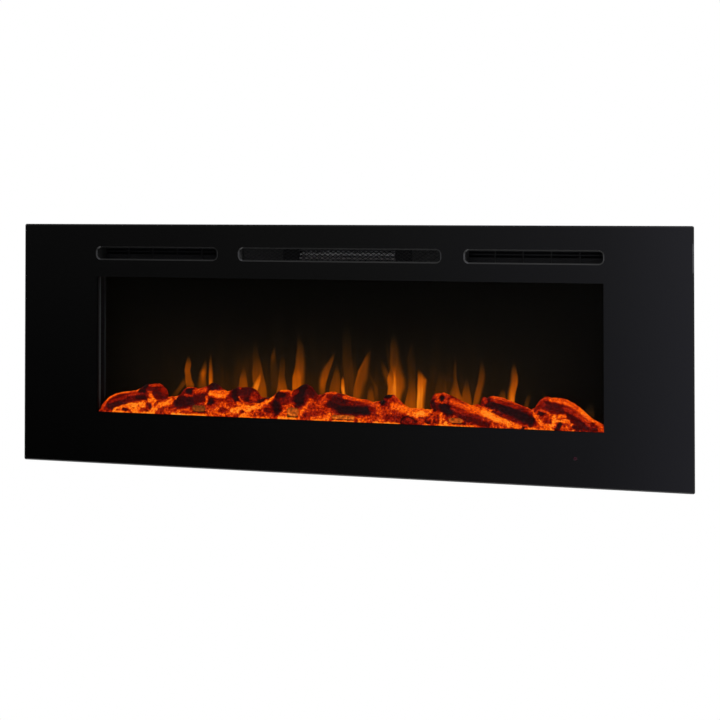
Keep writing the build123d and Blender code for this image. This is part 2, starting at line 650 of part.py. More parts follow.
def thermal_cutout():
    """A disc thermostat on the heater collar."""
    top = COLLAR_Z[1] + SHEET
    y = THROAT_Y + HEATER_D / 2
    disc = Pos(60, y, top) * extrude(RegularPolygon(7.2, 16), 5)
    return disc + block((56, 64), (y - 1.5, y + 1.5), (top + 5, top + 9))


# ---- firebox ------------------------------------------------------------------------------
def firebox_floor():
    reach = X_WINDOW + SCREEN_LAP + SHEET
    return block((-reach, reach), FLOOR_Y, (FLOOR_Z - SHEET, FLOOR_Z))


def firebox_cheek():
    """The right-hand cheek: front lip, hemmed front edge and turned rear lip."""
    x = X_WINDOW
    front = FLOOR_Y[0]
    rear = SCREEN_Y - 2.0
    section = [
        (x - CHEEK_HEM, front), (x + CHEEK_LIP, front), (x + CHEEK_LIP, front + SHEET),
        (x + SHEET, front + SHEET), (x + SHEET, rear), (x - REAR_LIP, rear),
        (x - REAR_LIP, rear - SHEET), (x, rear - SHEET), (x, front + CHEEK_HEM_D),
        (x - CHEEK_HEM, front + CHEEK_HEM_D),
    ]
    return along_z(section, (FLOOR_Z, SHELF_Z))


def screen_channel(base, up):
    """A channel that grips one long edge of the flame screen."""
    half = X_WINDOW + SCREEN_LAP
    inner = (SCREEN_Y - CHANNEL_GAP, SCREEN_Y + SCREEN_T + CHANNEL_GAP)
    outer = (inner[0] - SHEET, inner[1] + SHEET)
    deep = base + up * CHANNEL_H
    body = block((-half, half), outer, sorted((base, deep)))
    return body - block((-half - 1, half + 1), inner, sorted((base + up * SHEET, deep + up)))


def flame_screen():
    z = (FLOOR_Z + SHEET, SHELF_Z - SHEET - CHANNEL_GAP)
    half = X_WINDOW + SCREEN_LAP
    return block((-half, half), (SCREEN_Y, SCREEN_Y + SCREEN_T), z)


def laid(x):
    """A place along the layout of logs, bed and flames, in the window as wide as it is."""
    return x * X_WINDOW / LAYOUT_HALF


def ember_hole(x, width, height):
    """A long hole with cut corners in the bed's front face."""
    return Pos(laid(x), FLOOR_Z + EMBER_HOLE_H) * cut_corners(width, height, height * 0.35)


def ember_bed():
    """A moulded shell with a sloping front, a rolling top and two sawn ends, open behind."""
    half = X_WINDOW - CHEEK_HEM - BED_SIDE_GAP
    front, rear = BED_Y
    slope = [(front, FLOOR_Z), (rear, FLOOR_Z), (rear, BED_TOP), (BED_BROW, BED_TOP), (front, BED_LIP)]
    bed = along_x(slope, (-half, half))
    crests = [(laid(x), BED_TOP - drop) for x, drop in BED_CRESTS]
    ends = BED_TOP - BED_END_DROP
    hill = Polyline((-half, FLOOR_Z), (-half, ends), *crests, (half, ends), (half, FLOOR_Z), close=True)
    bed &= along_y(make_face(hill), (front - 1, rear + 1))
    for x, height, radius in STUBS:
        stub = Pos(laid(x), FLOOR_Z + height) * RegularPolygon(radius, STUB_SIDES)
        stub &= Pos(laid(x), FLOOR_Z + radius) * Rectangle(2 * radius, 2 * radius)
        bed += along_y(stub, (front - STUB_OUT, BED_BROW - BED_WALL))
    deep = BED_TOP - max(drop for _, drop in BED_CRESTS) - BED_WALL
    inner = [
        (front + BED_WALL, FLOOR_Z - 1), (rear + 1, FLOOR_Z - 1), (rear + 1, deep),
        (BED_BROW - 1, deep), (front + BED_WALL, BED_LIP - BED_WALL),
    ]
    bed -= along_x(inner, (-half + BED_WALL, half - BED_WALL))
    for hole in EMBER_HOLES:
        bed -= along_y(ember_hole(*hole), (front - 1, front + BED_WALL + 1))
    return bed


def log_ring(station, seed):
    """An uneven round across a log, at one station."""
    x, back, height, radius = station
    y = Y_CARRIER + back + radius
    corners = []
    for i in range(LOG_SIDES):
        turn = 2 * pi * i / LOG_SIDES
        bark = radius * (1 + 0.07 * sin(3 * turn + seed) + 0.05 * cos(5 * turn + 2 * seed))
        corners.append((laid(x), y + bark * cos(turn), FLOOR_Z + height + bark * sin(turn)))
    return corners


def limb(stations, seed):
    """A log through its stations, each with a centre and a radius."""
    return skin([log_ring(station, seed + 0.003 * station[0]) for station in stations])


LOGS = {    # at each station: place, glass to the log, height over the firebox floor, and radius
    "log_a": [(-573, 3, 16, 9), (-552, 3, 26, 13), (-516, 3, 34, 15), (-470, 3, 47, 17),
              (-436, 5, 48, 16), (-412, 10, 43, 12)],
    "log_b": [(-402, 9, 42, 12), (-372, 6, 44, 15), (-335, 4, 44, 16), (-303, 4, 54, 15),
              (-284, 4, 48, 14), (-262, 6, 40, 11)],
    "log_c": [(-258, 6, 44, 13), (-215, 6, 47, 15), (-196, 8, 44, 13)],
    "log_d": [(-152, 7, 44, 14), (-122, 5, 42, 15), (-86, 6, 58, 15), (-62, 12, 48, 11)],
    "log_e": [(-48, 7, 46, 14), (-10, 5, 47, 15), (30, 5, 38, 14), (72, 4, 32, 13), (84, 6, 30, 11)],
    "log_f": [(96, 11, 46, 12), (112, 10, 50, 13), (140, 9, 34, 13), (200, 9, 26, 12)],
    "log_g": [(204, 11, 50, 12), (228, 3, 52, 18), (275, 3, 40, 18), (335, 3, 25, 16), (385, 3, 16, 12),
              (404, 5, 12, 8)],
    "log_h": [(316, 18, 57, 10), (340, 17, 56, 12), (388, 16, 46, 12), (420, 16, 36, 10)],
    "log_i": [(436, 6, 46, 13), (456, 3, 53, 16), (498, 3, 49, 16), (536, 3, 34, 14), (570, 3, 16, 12)],
}


def ember_log(name, bed):
    """One log, hollowed below where it lies on the ember bed."""
    seed = 1.7 * (ord(name[-1]) - ord("a"))
    log = limb(LOGS[name], seed) - bed
    below = block((-X_BOX, X_BOX), BED_Y, (FLOOR_Z, BED_LIP))
    return (log - below).solids().sort_by(SortBy.VOLUME)[-1]


def ember_led_strip():
    half = X_WINDOW - 40
    strip = block((-half, half), (2, 10), (FLOOR_Z, FLOOR_Z + LED_STRIP_T))
    count = int(2 * half / LED_PITCH)
    for i in range(count):
        x = (i - (count - 1) / 2) * LED_PITCH
        top = FLOOR_Z + LED_STRIP_T
        strip += block((x - LED_SIZE / 2, x + LED_SIZE / 2), (4, 4 + LED_SIZE), (top, top + 1.4))
    return strip


# ---- flame picture ------------------------------------------------------------------------
def flame_hole(x, width, height, lean):
    """A tongue of flame: a full side, a hollow side and a rounded foot, cut in straight runs."""
    foot = FLOOR_Z + FLAME_FOOT
    full = [(-0.50, 0.0), (-0.60, 0.22), (-0.42, 0.56)]
    hollow = [(0.10, 0.60), (0.30, 0.30), (0.50, 0.0), (0.0, -0.14)]
    points = [*full, (0.0, 1.0), *hollow]
    outline = [(laid(x) + side * width + 2 * lean * up, foot + up * height) for side, up in points]
    return make_face(Polyline(*outline, close=True))


def flame_mask():
    """A sheet with flame-shaped cut-outs and a foot along its lower edge."""
    half = X_WINDOW + MASK_LAP
    top = SHELF_Z - MASK_DROP
    sheet = Pos(0, (top - Z_IN) / 2) * Rectangle(2 * half, top + Z_IN)
    for flame in FLAMES:
        sheet -= flame_hole(*flame)
    mask = along_y(sheet, (MASK_Y, MASK_Y + MASK_T))
    return mask + block((-half, half), (MASK_Y + MASK_T, MASK_Y + 12), (-Z_IN, -Z_IN + SHEET))


def flame_rotor():
    """A hexagonal bar with round journals and sets of three petals, each set turned on."""
    rotor = extrude(RegularPolygon(BAR_R, 6), ROTOR_HALF, both=True)
    journal = Cylinder(ROTOR_SHAFT_R, BRACKET_X + JOURNAL_L - ROTOR_HALF)
    for end in (-1, 1):
        rotor += Pos(0, 0, end * (BRACKET_X + JOURNAL_L + ROTOR_HALF) / 2) * journal
    pitch = 2 * ROTOR_HALF / ROTOR_SETS
    petal = Pos(PETAL_R / 2, 0) * Box(PETAL_R, PETAL_T, pitch - PETAL_GAP)
    for i in range(ROTOR_SETS):
        place = Pos(0, 0, (i + 0.5) * pitch - ROTOR_HALF)
        for third in range(3):
            rotor += place * Rot(0, 0, PETAL_TURN * i + 120 * third) * petal
    return Pos(0, ROTOR_Y, ROTOR_Z) * Rot(0, 90, 0) * rotor


def rotor_bracket():
    """The right-hand bearing bracket, standing on the housing floor."""
    x = (BRACKET_X, BRACKET_X + BRACKET_T)
    y = (ROTOR_Y - BRACKET_HALF, ROTOR_Y + BRACKET_HALF)
    plate = block(x, y, (-Z_IN, ROTOR_Z + BRACKET_HALF))
    plate += block((BRACKET_X - BRACKET_HALF, x[1]), y, (-Z_IN, -Z_IN + BRACKET_T))
    plate += hex_x(HUB_R + 1, (BRACKET_X - 3, x[0]), ROTOR_Y, ROTOR_Z)
    hole = rod_x(ROTOR_SHAFT_R + RUN_FIT, (BRACKET_X - 5, x[1] + 5), ROTOR_Y, ROTOR_Z)
    return plate - hole


def rotor_motor():
    """A flat geared motor with cut corners, on the outside of the left-hand bracket."""
    x = -(BRACKET_X + BRACKET_T)
    side = 2 * ROTOR_MOTOR_HALF
    case = extrude(chamfer(Rectangle(side, side).vertices(), side * 0.2), ROTOR_MOTOR_L - 4)
    body = Pos(x - ROTOR_MOTOR_L, ROTOR_Y, ROTOR_Z) * Rot(0, 90, 0) * case
    body += hex_x(HUB_R + 2, (x - 4, x), ROTOR_Y, ROTOR_Z)
    ear_y = (ROTOR_Y - ROTOR_MOTOR_HALF - 5, ROTOR_Y + ROTOR_MOTOR_HALF + 5)
    body += block((x - 6, x - 4), ear_y, (ROTOR_Z - 6, ROTOR_Z + 6))
    return body - rod_x(ROTOR_SHAFT_R + RUN_FIT, (x - 16, x + 1), ROTOR_Y, ROTOR_Z)


def led_rail():
    """A standing rail behind the rotor that carries the flame lights."""
    half = ROTOR_HALF - 6
    top = FLOOR_Z + LED_RAIL_RISE
    web = block((-half, half), (LED_RAIL_Y, LED_RAIL_Y + SHEET), (-Z_IN, top))
    return web + block((-half, half), (LED_RAIL_Y - 14, LED_RAIL_Y), (-Z_IN, -Z_IN + SHEET))


def flame_led_strip():
    half = ROTOR_HALF - 10
    top = FLOOR_Z + LED_RAIL_RISE - 4
    z = (top - LED_STRIP_H, top)
    back = LED_RAIL_Y - LED_STRIP_T
    strip = block((-half, half), (back, LED_RAIL_Y), z)
    middle = sum(z) / 2
    chip_z = (middle - LED_SIZE / 2, middle + LED_SIZE / 2)
    count = int(2 * half / LED_PITCH)
    for i in range(count):
        x = (i - (count - 1) / 2) * LED_PITCH
        strip += block((x - LED_SIZE / 2, x + LED_SIZE / 2), (back - 1.4, back), chip_z)
    return strip


# ---- controls and power -------------------------------------------------------------------
def fascia_bottom():
    """The sheet behind the lower glass, with a foot on the housing floor."""
    half = X_WINDOW + FASCIA_LAP
    section = [
        (FASCIA_Y, -Z_IN), (10, -Z_IN), (10, -Z_IN + SHEET), (FASCIA_Y + SHEET, -Z_IN + SHEET),
        (FASCIA_Y + SHEET, FLOOR_Z - SHEET), (FASCIA_Y, FLOOR_Z - SHEET),
    ]
    return along_x(section, (-half, half))


def touch_board():
    """The touch and lamp board, with its sensing posts and lamp behind the glass."""
    z = (TOUCH_Z - TOUCH_H / 2, TOUCH_Z + TOUCH_H / 2)
    board = block(TOUCH_X, (FASCIA_Y - PCB_T, FASCIA_Y), z)
    post_y = (Y_CARRIER, FASCIA_Y - PCB_T)
    lamp_y = (Y_GLASS + LAMP_GAP, FASCIA_Y - PCB_T)
    for i in range(5):
        x = TOUCH_X[0] + 14 + i * TOUCH_PITCH
        board += block((x - 3.5, x + 3.5), post_y, (TOUCH_Z - 3.5, TOUCH_Z + 3.5))
    return board + rod_y(LAMP_R, LAMP_X, lamp_y, TOUCH_Z)


def power_board():
    """The power board on four posts, with its relays, capacitor and terminals."""
    top = -Z_IN + BOARD_POST + PCB_T
    board = block(BOARD_X, BOARD_Y, (-Z_IN + BOARD_POST, top))
    middle_x = sum(BOARD_X) / 2
    middle_y = sum(BOARD_Y) / 2
    spread = GridLocations(BOARD_X[1] - BOARD_X[0] - 10, BOARD_Y[1] - BOARD_Y[0] - 10, 2, 2)
    post = Pos(0, 0, -Z_IN) * extrude(RegularPolygon(3.2, 6), BOARD_POST)
    for spot in Pos(middle_x, middle_y) * spread:
        board += spot * post
    for i in range(3):
        y = BOARD_Y[0] + 14 + i * 18
        board += block((BOARD_X[0] + 6, BOARD_X[0] + 24), (y, y + 14), (top, top + 14))
    board += Pos(BOARD_X[0] + 46, BOARD_Y[0] + 24, top + 9) * Cylinder(8, 18)
    board += block((BOARD_X[0] + 34, BOARD_X[0] + 62), (70, 98), (top, top + 18))
    return board + block((BOARD_X[1] - 14, BOARD_X[1] - 4), (20, 60), (top, top + 10))


def switch_housing():
    """The fixed body of the rocker switch: bezel outside, box inside."""
    y = (SWITCH_Y - SWITCH_W / 2 + SWITCH_FIT, SWITCH_Y + SWITCH_W / 2 - SWITCH_FIT)
    z = (SWITCH_Z - SWITCH_H / 2 + SWITCH_FIT, SWITCH_Z + SWITCH_H / 2 - SWITCH_FIT)
    x = (X_BOX - SWITCH_D, X_BOX)
    body = block(x, y, z)
    bezel_x = (X_BOX, X_BOX + SWITCH_BEZEL)
    body += block(bezel_x, (y[0] - 1.5, y[1] + 1.5), (z[0] - 1.5, z[1] + 1.5))
    wall = SWITCH_WALL
    body -= block((x[0] + wall, X_BOX + 5), (y[0] + wall, y[1] - wall), (z[0] + wall, z[1] - wall))
    body -= rod_y(PIN_R + RUN_FIT, SWITCH_PIVOT_X, (y[0] - 1, y[1] + 1), SWITCH_Z)
    for drop in (5, 12):
        body += block((x[0] - 7, x[0]), (SWITCH_Y - 0.4, SWITCH_Y + 0.4), (z[0] + drop, z[0] + drop + 3))
    return body


def switch_rocker():
    """The rocker, tilted to its off position, on two pivot pins."""
    half_y = SWITCH_W / 2 - SWITCH_FIT - SWITCH_WALL - ROCKER_GAP
    half_z = SWITCH_H / 2 - SWITCH_FIT - SWITCH_WALL - ROCKER_END_GAP
    y = (SWITCH_Y - half_y, SWITCH_Y + half_y)
    section = [
        (-2.5, -half_z * 0.55), (4.6, -half_z), (6.4, -half_z), (4.9, 0), (6.4, half_z),
        (4.6, half_z), (-2.5, half_z * 0.55),
    ]
    outline = make_face(Polyline(*[(x, 0, z) for x, z in section], close=True))
    rocker = extrude(outline, half_y, dir=(0, 1, 0), both=True)
    pin_half = SWITCH_W / 2 - SWITCH_FIT - 0.2
    rocker += Rot(90, 0, 0) * Cylinder(PIN_R, 2 * pin_half)
    return Pos(SWITCH_PIVOT_X, SWITCH_Y, SWITCH_Z) * Rot(0, ROCKER_TILT, 0) * rocker


def cable_gland():
    """An empty cable inlet: lock nut inside, body through the wall, nut and cap outside."""
    hexagon = RegularPolygon(GLAND_R + 3.5, 6)
    low = (Align.CENTER, Align.CENTER, Align.MIN)
    body = Cylinder(GLAND_R, SHEET, align=low)
    body += Pos(0, 0, -4) * extrude(hexagon, 4)
    body += Pos(0, 0, SHEET) * extrude(hexagon, 5)
    body += Pos(0, 0, SHEET + 5) * extrude(RegularPolygon(GLAND_R + 1.8, 12), 8)
    body -= Cylinder(GLAND_BORE, 60)
    return Pos(X_IN, GLAND_Y, GLAND_Z) * Rot(0, 90, 0) * body


# ---- write every piece --------------------------------------------------------------------
def build_all():
    right_rail = frame_rail_side()
    side = housing_side()
    duct = intake_duct()
    grille = intake_grille()
    heater_end = ptc_end()
    cheek = firebox_cheek()
    bracket = rotor_bracket()
    bed = ember_bed()
    pieces = {
        "front_glass": front_glass(),
        "glass_enamel": glass_enamel(),
        "frame_rail_top": frame_rail_long(1),
        "frame_rail_bottom": frame_rail_long(-1),
        "frame_rail_left": mirrored(right_rail),
        "frame_rail_right": right_rail,
        "housing_back": housing_back(),
        "housing_top": housing_top(),
        "housing_bottom": mirror(housing_top(), about=Plane.XY),
        "housing_left": mirrored(side),
        "housing_right": housing_right(),
        "compartment_shelf": compartment_shelf(),
        "intake_duct_left": mirrored(duct),
        "intake_duct_right": duct,
        "intake_grille_left": mirrored(grille),
        "intake_grille_right": grille,
        "outlet_duct": outlet_duct(),
        "outlet_guard": outlet_guard(),
        "ptc_core": ptc_core(),
        "ptc_end_left": mirrored(heater_end),
        "ptc_end_right": heater_end,
        "blower_wheel": blower_wheel(),
        "blower_scroll": blower_scroll(),
        "blower_tongue": blower_tongue(),
        "blower_end_left": mirrored(blower_end(HUB_R)),
        "blower_end_right": blower_end(HUB_R + 1),
        "blower_bush": blower_bush(),
        "blower_motor": blower_motor(),
        "thermal_cutout": thermal_cutout(),
        "firebox_floor": firebox_floor(),
        "firebox_cheek_left": mirrored(cheek),
        "firebox_cheek_right": cheek,
        "screen_channel_top": screen_channel(SHELF_Z, -1),
        "screen_channel_bottom": screen_channel(FLOOR_Z, 1),
        "flame_screen": flame_screen(),
        "ember_bed": bed,
        "ember_led_strip": ember_led_strip(),
        "flame_mask": flame_mask(),
        "flame_rotor": flame_rotor(),
        "rotor_bracket_left": mirrored(bracket),
        "rotor_bracket_right": bracket,
        "rotor_motor": rotor_motor(),
        "led_rail": led_rail(),
        "flame_led_strip": flame_led_strip(),
        "fascia_bottom": fascia_bottom(),
        "touch_board": touch_board(),
        "power_board": power_board(),
        "switch_housing": switch_housing(),
        "switch_rocker": switch_rocker(),
        "cable_gland": cable_gland(),
    }
    for name in LOGS:
        pieces[name] = ember_log(name, bed)
    for name, shape in pieces.items():
        save(name, shape)


build_all()
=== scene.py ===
"""Looks of the recessed electric fireplace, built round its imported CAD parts.

Everything is in metres in the CAD frame: +X to the right, +Y into the wall, +Z up.
Tables of places along the fire are in millimetres.
"""
import json
from math import cos, pi, radians, sin
import bmesh
import bpy
import numpy as np
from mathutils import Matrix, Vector, noise

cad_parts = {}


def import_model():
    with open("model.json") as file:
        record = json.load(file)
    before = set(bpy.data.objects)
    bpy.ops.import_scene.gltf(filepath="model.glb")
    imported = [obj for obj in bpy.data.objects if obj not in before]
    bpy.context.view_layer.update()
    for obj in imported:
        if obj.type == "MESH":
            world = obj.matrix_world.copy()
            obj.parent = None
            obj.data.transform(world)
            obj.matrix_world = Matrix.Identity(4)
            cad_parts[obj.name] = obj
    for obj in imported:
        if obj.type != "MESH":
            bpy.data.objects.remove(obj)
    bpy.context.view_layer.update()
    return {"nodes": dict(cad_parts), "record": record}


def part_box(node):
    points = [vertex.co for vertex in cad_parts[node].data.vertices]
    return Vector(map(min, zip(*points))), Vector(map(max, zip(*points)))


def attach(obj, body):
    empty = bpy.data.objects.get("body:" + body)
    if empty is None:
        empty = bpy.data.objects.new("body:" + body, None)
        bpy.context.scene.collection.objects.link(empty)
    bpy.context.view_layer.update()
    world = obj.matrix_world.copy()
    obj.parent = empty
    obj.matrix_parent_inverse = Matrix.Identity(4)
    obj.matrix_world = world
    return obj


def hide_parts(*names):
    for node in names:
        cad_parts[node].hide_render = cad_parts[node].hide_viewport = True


MM = 0.001
WHITE = (1, 1, 1, 1)
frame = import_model()
nodes = frame["nodes"]
slot_of = {part["node"]: part["material_slot"] for part in frame["record"]["subparts"]}

SLOT_Z = sum(corner.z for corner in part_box("outlet_guard")) / 2
GLASS_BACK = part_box("glass_enamel")[1].y
WINDOW_X = 578 * MM     # half the window's width
PRINT_X = (-576.6 * MM, 577.8 * MM)     # where the black print leaves the glass clear
PRINT_Z = (-155.3 * MM, 153 * MM)
BEVEL_FACING = (0.45, 0.95)     # how far a ground slot bevel faces the room
BEVEL_Z = (SLOT_Z - 30 * MM, SLOT_Z + 30 * MM)
LAMP = Vector((518.5 * MM, GLASS_BACK - 0.4 * MM, -211.5 * MM))
LAMP_R = 6.2 * MM       # round gap in the print before the power lamp


# ---- shader helpers -----------------------------------------------------------------------
class Nodes:
    """A node tree and short ways to add to it."""

    def __init__(self, tree):
        self.tree = tree

    def add(self, kind, values=None, **settings):
        made = self.tree.nodes.new("ShaderNode" + kind)
        for key, value in settings.items():
            setattr(made, key, value)
        for socket, value in (values or {}).items():
            if isinstance(value, bpy.types.NodeSocket):
                self.tree.links.new(value, made.inputs[socket])
            else:
                made.inputs[socket].default_value = value
        return made

    def math(self, operation, *values, **settings):
        return self.add("Math", dict(enumerate(values)), operation=operation, **settings).outputs[0]

    def axes(self, vector):
        return self.add("SeparateXYZ", {"Vector": vector}).outputs

    def spread(self, value, low, high, start=0.3, end=0.7):
        """Stretches a value between start and end over low to high."""
        values = {"Value": value, "From Min": start, "From Max": end, "To Min": low, "To Max": high}
        return self.add("MapRange", values).outputs["Result"]

    def ramp(self, value, stops):
        made = self.add("ValToRGB", {"Fac": value})
        elements = made.color_ramp.elements
        ends = (elements[0], elements[1])
        for element, (place, colour) in zip(ends, (stops[0], stops[-1])):
            element.position = place
            element.color = (*colour, 1)
        for place, colour in stops[1:-1]:
            elements.new(place).color = (*colour, 1)
        return made.outputs["Color"]


class Finish(Nodes):
    """One material and short ways to paint it."""

    def __init__(self, name, **values):
        self.material = bpy.data.materials.new(name)
        self.material.use_nodes = True
        super().__init__(self.material.node_tree)
        self.surface = self.tree.nodes["Principled BSDF"]
        for socket, value in values.items():
            self.surface.inputs[socket.replace("_", " ")].default_value = value

    def feed(self, output, socket):
        self.tree.links.new(output, self.surface.inputs[socket])

    def place(self):
        """Position on the object, in metres."""
        return self.add("TexCoord").outputs["Object"]

    def stretched(self, scale):
        return self.add("Mapping", {"Vector": self.place(), "Scale": scale}).outputs["Vector"]

    def away(self, point):
        """Distance from a point, in metres."""
        return self.add("VectorMath", {0: self.place(), 1: point}, operation="DISTANCE").outputs["Value"]

    def noise(self, scale, detail=3.0, rough=0.5, vector=None):
        source = vector if vector else self.place()
        values = {"Vector": source, "Scale": scale, "Detail": detail, "Roughness": rough}
        return self.add("TexNoise", values).outputs["Fac"]

    def wavering(self, value, scale, detail, reach):
        """A height or depth that wanders by up to reach, for uneven borders of painted light and shade."""
        return self.math("ADD", value, self.spread(self.noise(scale, detail), -reach, reach))

    def colour(self, value, dark, pale):
        """Base colour from dark to pale over the range that a noise mostly covers."""
        self.feed(self.ramp(value, [(0.3, dark), (0.7, pale)]), "Base Color")

    def rough(self, value, low, high):
        self.feed(self.spread(value, low, high), "Roughness")

    def glow(self, light, stops):
        self.feed(self.ramp(light, stops), "Emission Color")
        self.surface.inputs["Emission Strength"].default_value = 1.0

    def bump(self, height, depth, strength=1.0):
        values = {"Height": height, "Distance": depth, "Strength": strength}
        self.feed(self.add("Bump", values).outputs["Normal"], "Normal")


def grey(value, tint=(1.0, 1.0, 1.0)):
    return tuple(value * channel for channel in tint)


# ---- finishes of the CAD parts ------------------------------------------------------------
BEVEL_LIGHT_LEFT = [          # ground slot bevels, grey with painted light and shade by the way they face: down, sideways and up, at the left end
    (0.0, grey(0.012)), (0.3, grey(0.018)), (0.5, grey(0.032, (0.98, 1, 1.03))), (0.7, grey(0.024)),
    (1.0, grey(0.019)),
]
BEVEL_LIGHT_RIGHT = [         # and at the right end, with brighter painted light
    (0.0, grey(0.052)), (0.3, grey(0.058)), (0.5, grey(0.085, (0.98, 0.99, 1.05))), (0.7, grey(0.056)),
    (1.0, grey(0.040)),
]


def clear_glass():
    """Tempered glass: clear in the window, printed black round it, with frosted slot bevels whose grey is
    painted light, brighter to the right and where they face sideways.
    """
    finish = Finish("clear_glass", IOR=1.1, Coat_Roughness=0.08)
    parts = finish.axes(finish.place())
    normal = finish.axes(finish.add("NewGeometry").outputs["True Normal"])

    def within(value, span):
        return finish.math("COMPARE", value, sum(span) / 2, (span[1] - span[0]) / 2)

    def both(one, other):
        return finish.math("MULTIPLY", one, other)

    def tint(share, under, over):
        values = {"Factor": share, "A": under, "B": over}
        return finish.add("Mix", values, data_type="RGBA").outputs[2]

    window = both(within(parts["X"], PRINT_X), within(parts["Z"], PRINT_Z))
    dot = finish.math("LESS_THAN", finish.away(LAMP), LAMP_R)
    clear = finish.math("MAXIMUM", window, dot)
    ink = finish.ramp(finish.noise(5.0, 4.0), [(0.3, grey(0.0002)), (0.7, grey(0.0004))])
    facing = finish.math("ABSOLUTE", normal["Y"])
    frosted = both(within(facing, BEVEL_FACING), within(parts["Z"], BEVEL_Z))
    rise = finish.spread(normal["Z"], 0.0, 1.0, -0.75, 0.75)
    along = finish.spread(parts["X"], 0.0, 1.0, -WINDOW_X, WINDOW_X)
    # the bevels' grey is painted light and shade: set by where they face, and brighter towards the right end
    bevel_light = tint(along, finish.ramp(rise, BEVEL_LIGHT_LEFT), finish.ramp(rise, BEVEL_LIGHT_RIGHT))
    finish.feed(tint(frosted, tint(clear, ink, WHITE), bevel_light), "Base Color")
    finish.feed(clear, "Transmission Weight")
    flat = finish.spread(finish.math("ABSOLUTE", normal["X"]), 1.0, 0.1, 0.3, 0.6)
    finish.feed(both(flat, finish.spread(window, 1.0, 0.0, 0, 1)), "Coat Weight")
    finish.feed(finish.spread(clear, 0.5, 0.0, 0, 1), "Roughness")
    return finish.material


def black_enamel():
    """Dull back of the print."""
    finish = Finish("black_enamel", Specular_IOR_Level=0.0, Roughness=0.8)
    finish.colour(finish.noise(60.0), grey(0.0012), grey(0.0016))
    return finish.material


def black_steel():
    """Satin powder coat: a fine orange peel over slightly uneven sheet."""
    finish = Finish("black_steel", Roughness=0.45, Specular_IOR_Level=0.25)
    cloud = finish.noise(14.0, 4.0)
    finish.colour(cloud, grey(0.009, (0.98, 1.0, 1.03)), grey(0.014))
    finish.rough(cloud, 0.38, 0.52)
    finish.bump(finish.noise(900.0, 2.0), 0.0002, 0.35)
    return finish.material


def duct_paint(name="duct_paint", tone=0.023):
    """Dull heat-proof black inside the air path."""
    finish = Finish(name, Roughness=0.9, Specular_IOR_Level=0.1)
    finish.colour(finish.noise(40.0, 4.0), grey(0.8 * tone), grey(1.2 * tone))
    finish.bump(finish.noise(1200.0, 2.0), 0.0002, 0.4)
    return finish.material


# painted highlight along the cheeks' front hem
HEM_HIGHLIGHT = grey(0.046, (0.94, 1.03, 1.04))
LINER_LIGHT_STOPS = [         # from the front of a cheek to its back: a painted highlight on the front hem, dark behind it, and a fainter painted highlight on the lip at the back
    (0.20, grey(0.010)), (0.27, HEM_HIGHLIGHT), (0.40, HEM_HIGHLIGHT), (0.47, grey(0.0048)), (0.86, grey(0.0050)),
    (0.92, grey(0.014, (0.96, 1.0, 1.04))),
]


def liner_paint():
    """Matt black of the fire box's cheeks, with painted highlights on the front hem and on the lip at the
    back.
    """
    finish = Finish("liner_paint", Roughness=0.7, Specular_IOR_Level=0.0)
    front, back = (corner.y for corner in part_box("firebox_cheek_left"))
    depth = finish.wavering(finish.axes(finish.place())["Y"], 300.0, 3.0, 0.6 * MM)
    finish.feed(finish.ramp(finish.spread(depth, 0.0, 1.0, front, back), LINER_LIGHT_STOPS), "Base Color")
    return finish.material


def plain_steel():
    """Zinc-coated sheet with its spangle."""
    finish = Finish("plain_steel", Metallic=1.0)
    spangle = finish.add("TexVoronoi", {"Vector": finish.place(), "Scale": 130.0}).outputs["Color"]
    cloud = finish.noise(25.0, 5.0, 0.6)
    shine = finish.add("Mix", {"Factor": 0.5, "A": spangle, "B": cloud}, data_type="FLOAT")
    tone = shine.outputs["Result"]
    finish.feed(finish.ramp(tone, [(0.25, grey(0.34)), (0.75, grey(0.52, (0.98, 1, 1.02)))]), "Base Color")
    finish.rough(tone, 0.30, 0.48)
    finish.bump(cloud, 0.0003, 0.2)
    return finish.material


def black_plastic(name="black_plastic", tone=0.0055):
    """Moulded black plastic with a fine grain."""
    finish = Finish(name, Roughness=0.55, Specular_IOR_Level=0.3)
    grain = finish.noise(1600.0, 2.0)
    finish.colour(finish.noise(30.0), grey(0.75 * tone), grey(1.25 * tone))
    finish.rough(grain, 0.42, 0.6)
    finish.bump(grain, 0.0001, 0.5)
    return finish.material


def cream_plastic():
    """Heat-proof moulding, cream with slight clouds."""
    finish = Finish("cream_plastic", Roughness=0.42)
    cloud = finish.noise(45.0, 4.0)
    finish.colour(cloud, (0.60, 0.54, 0.42), (0.70, 0.65, 0.53))
    finish.rough(cloud, 0.38, 0.5)
    finish.bump(finish.noise(700.0, 2.0), 0.0001, 0.4)
    return finish.material


FIN_GRAIN = (120, 2500, 2500)
FIN_ROUGH = (0.32, 0.5)


def rolled_metal(name, metallic, scale, rough):
    """Metal with a grain drawn out along its length."""
    finish = Finish(name, Metallic=metallic)
    grain = finish.noise(1.0, 3.0, vector=finish.stretched(scale))
    finish.rough(grain, *rough)
    return finish, grain


def fin_aluminium():
    """Drawn aluminium of the heater's frame and ends."""
    finish, grain = rolled_metal("fin_aluminium", 0.5, FIN_GRAIN, FIN_ROUGH)
    finish.colour(grain, grey(0.60), grey(0.84, (0.99, 1, 1.01)))
    return finish.material


def glint_fold():
    """Rolled aluminium along the fin's front edge, paler than the heater's frame: a painted glint along the
    fold.
    """
    finish, grain = rolled_metal("glint_fold", 0.15, (900, 300, 2500), FIN_ROUGH)
    finish.colour(grain, grey(0.84, (1, 0.97, 0.98)), grey(0.97))
    return finish.material


def motor_steel():
    """Drawn steel of the motors' cans and shafts."""
    finish, grain = rolled_metal("motor_steel", 1.0, (1800, 60, 60), (0.3, 0.45))
    finish.colour(grain, grey(0.30), grey(0.44))
    return finish.material


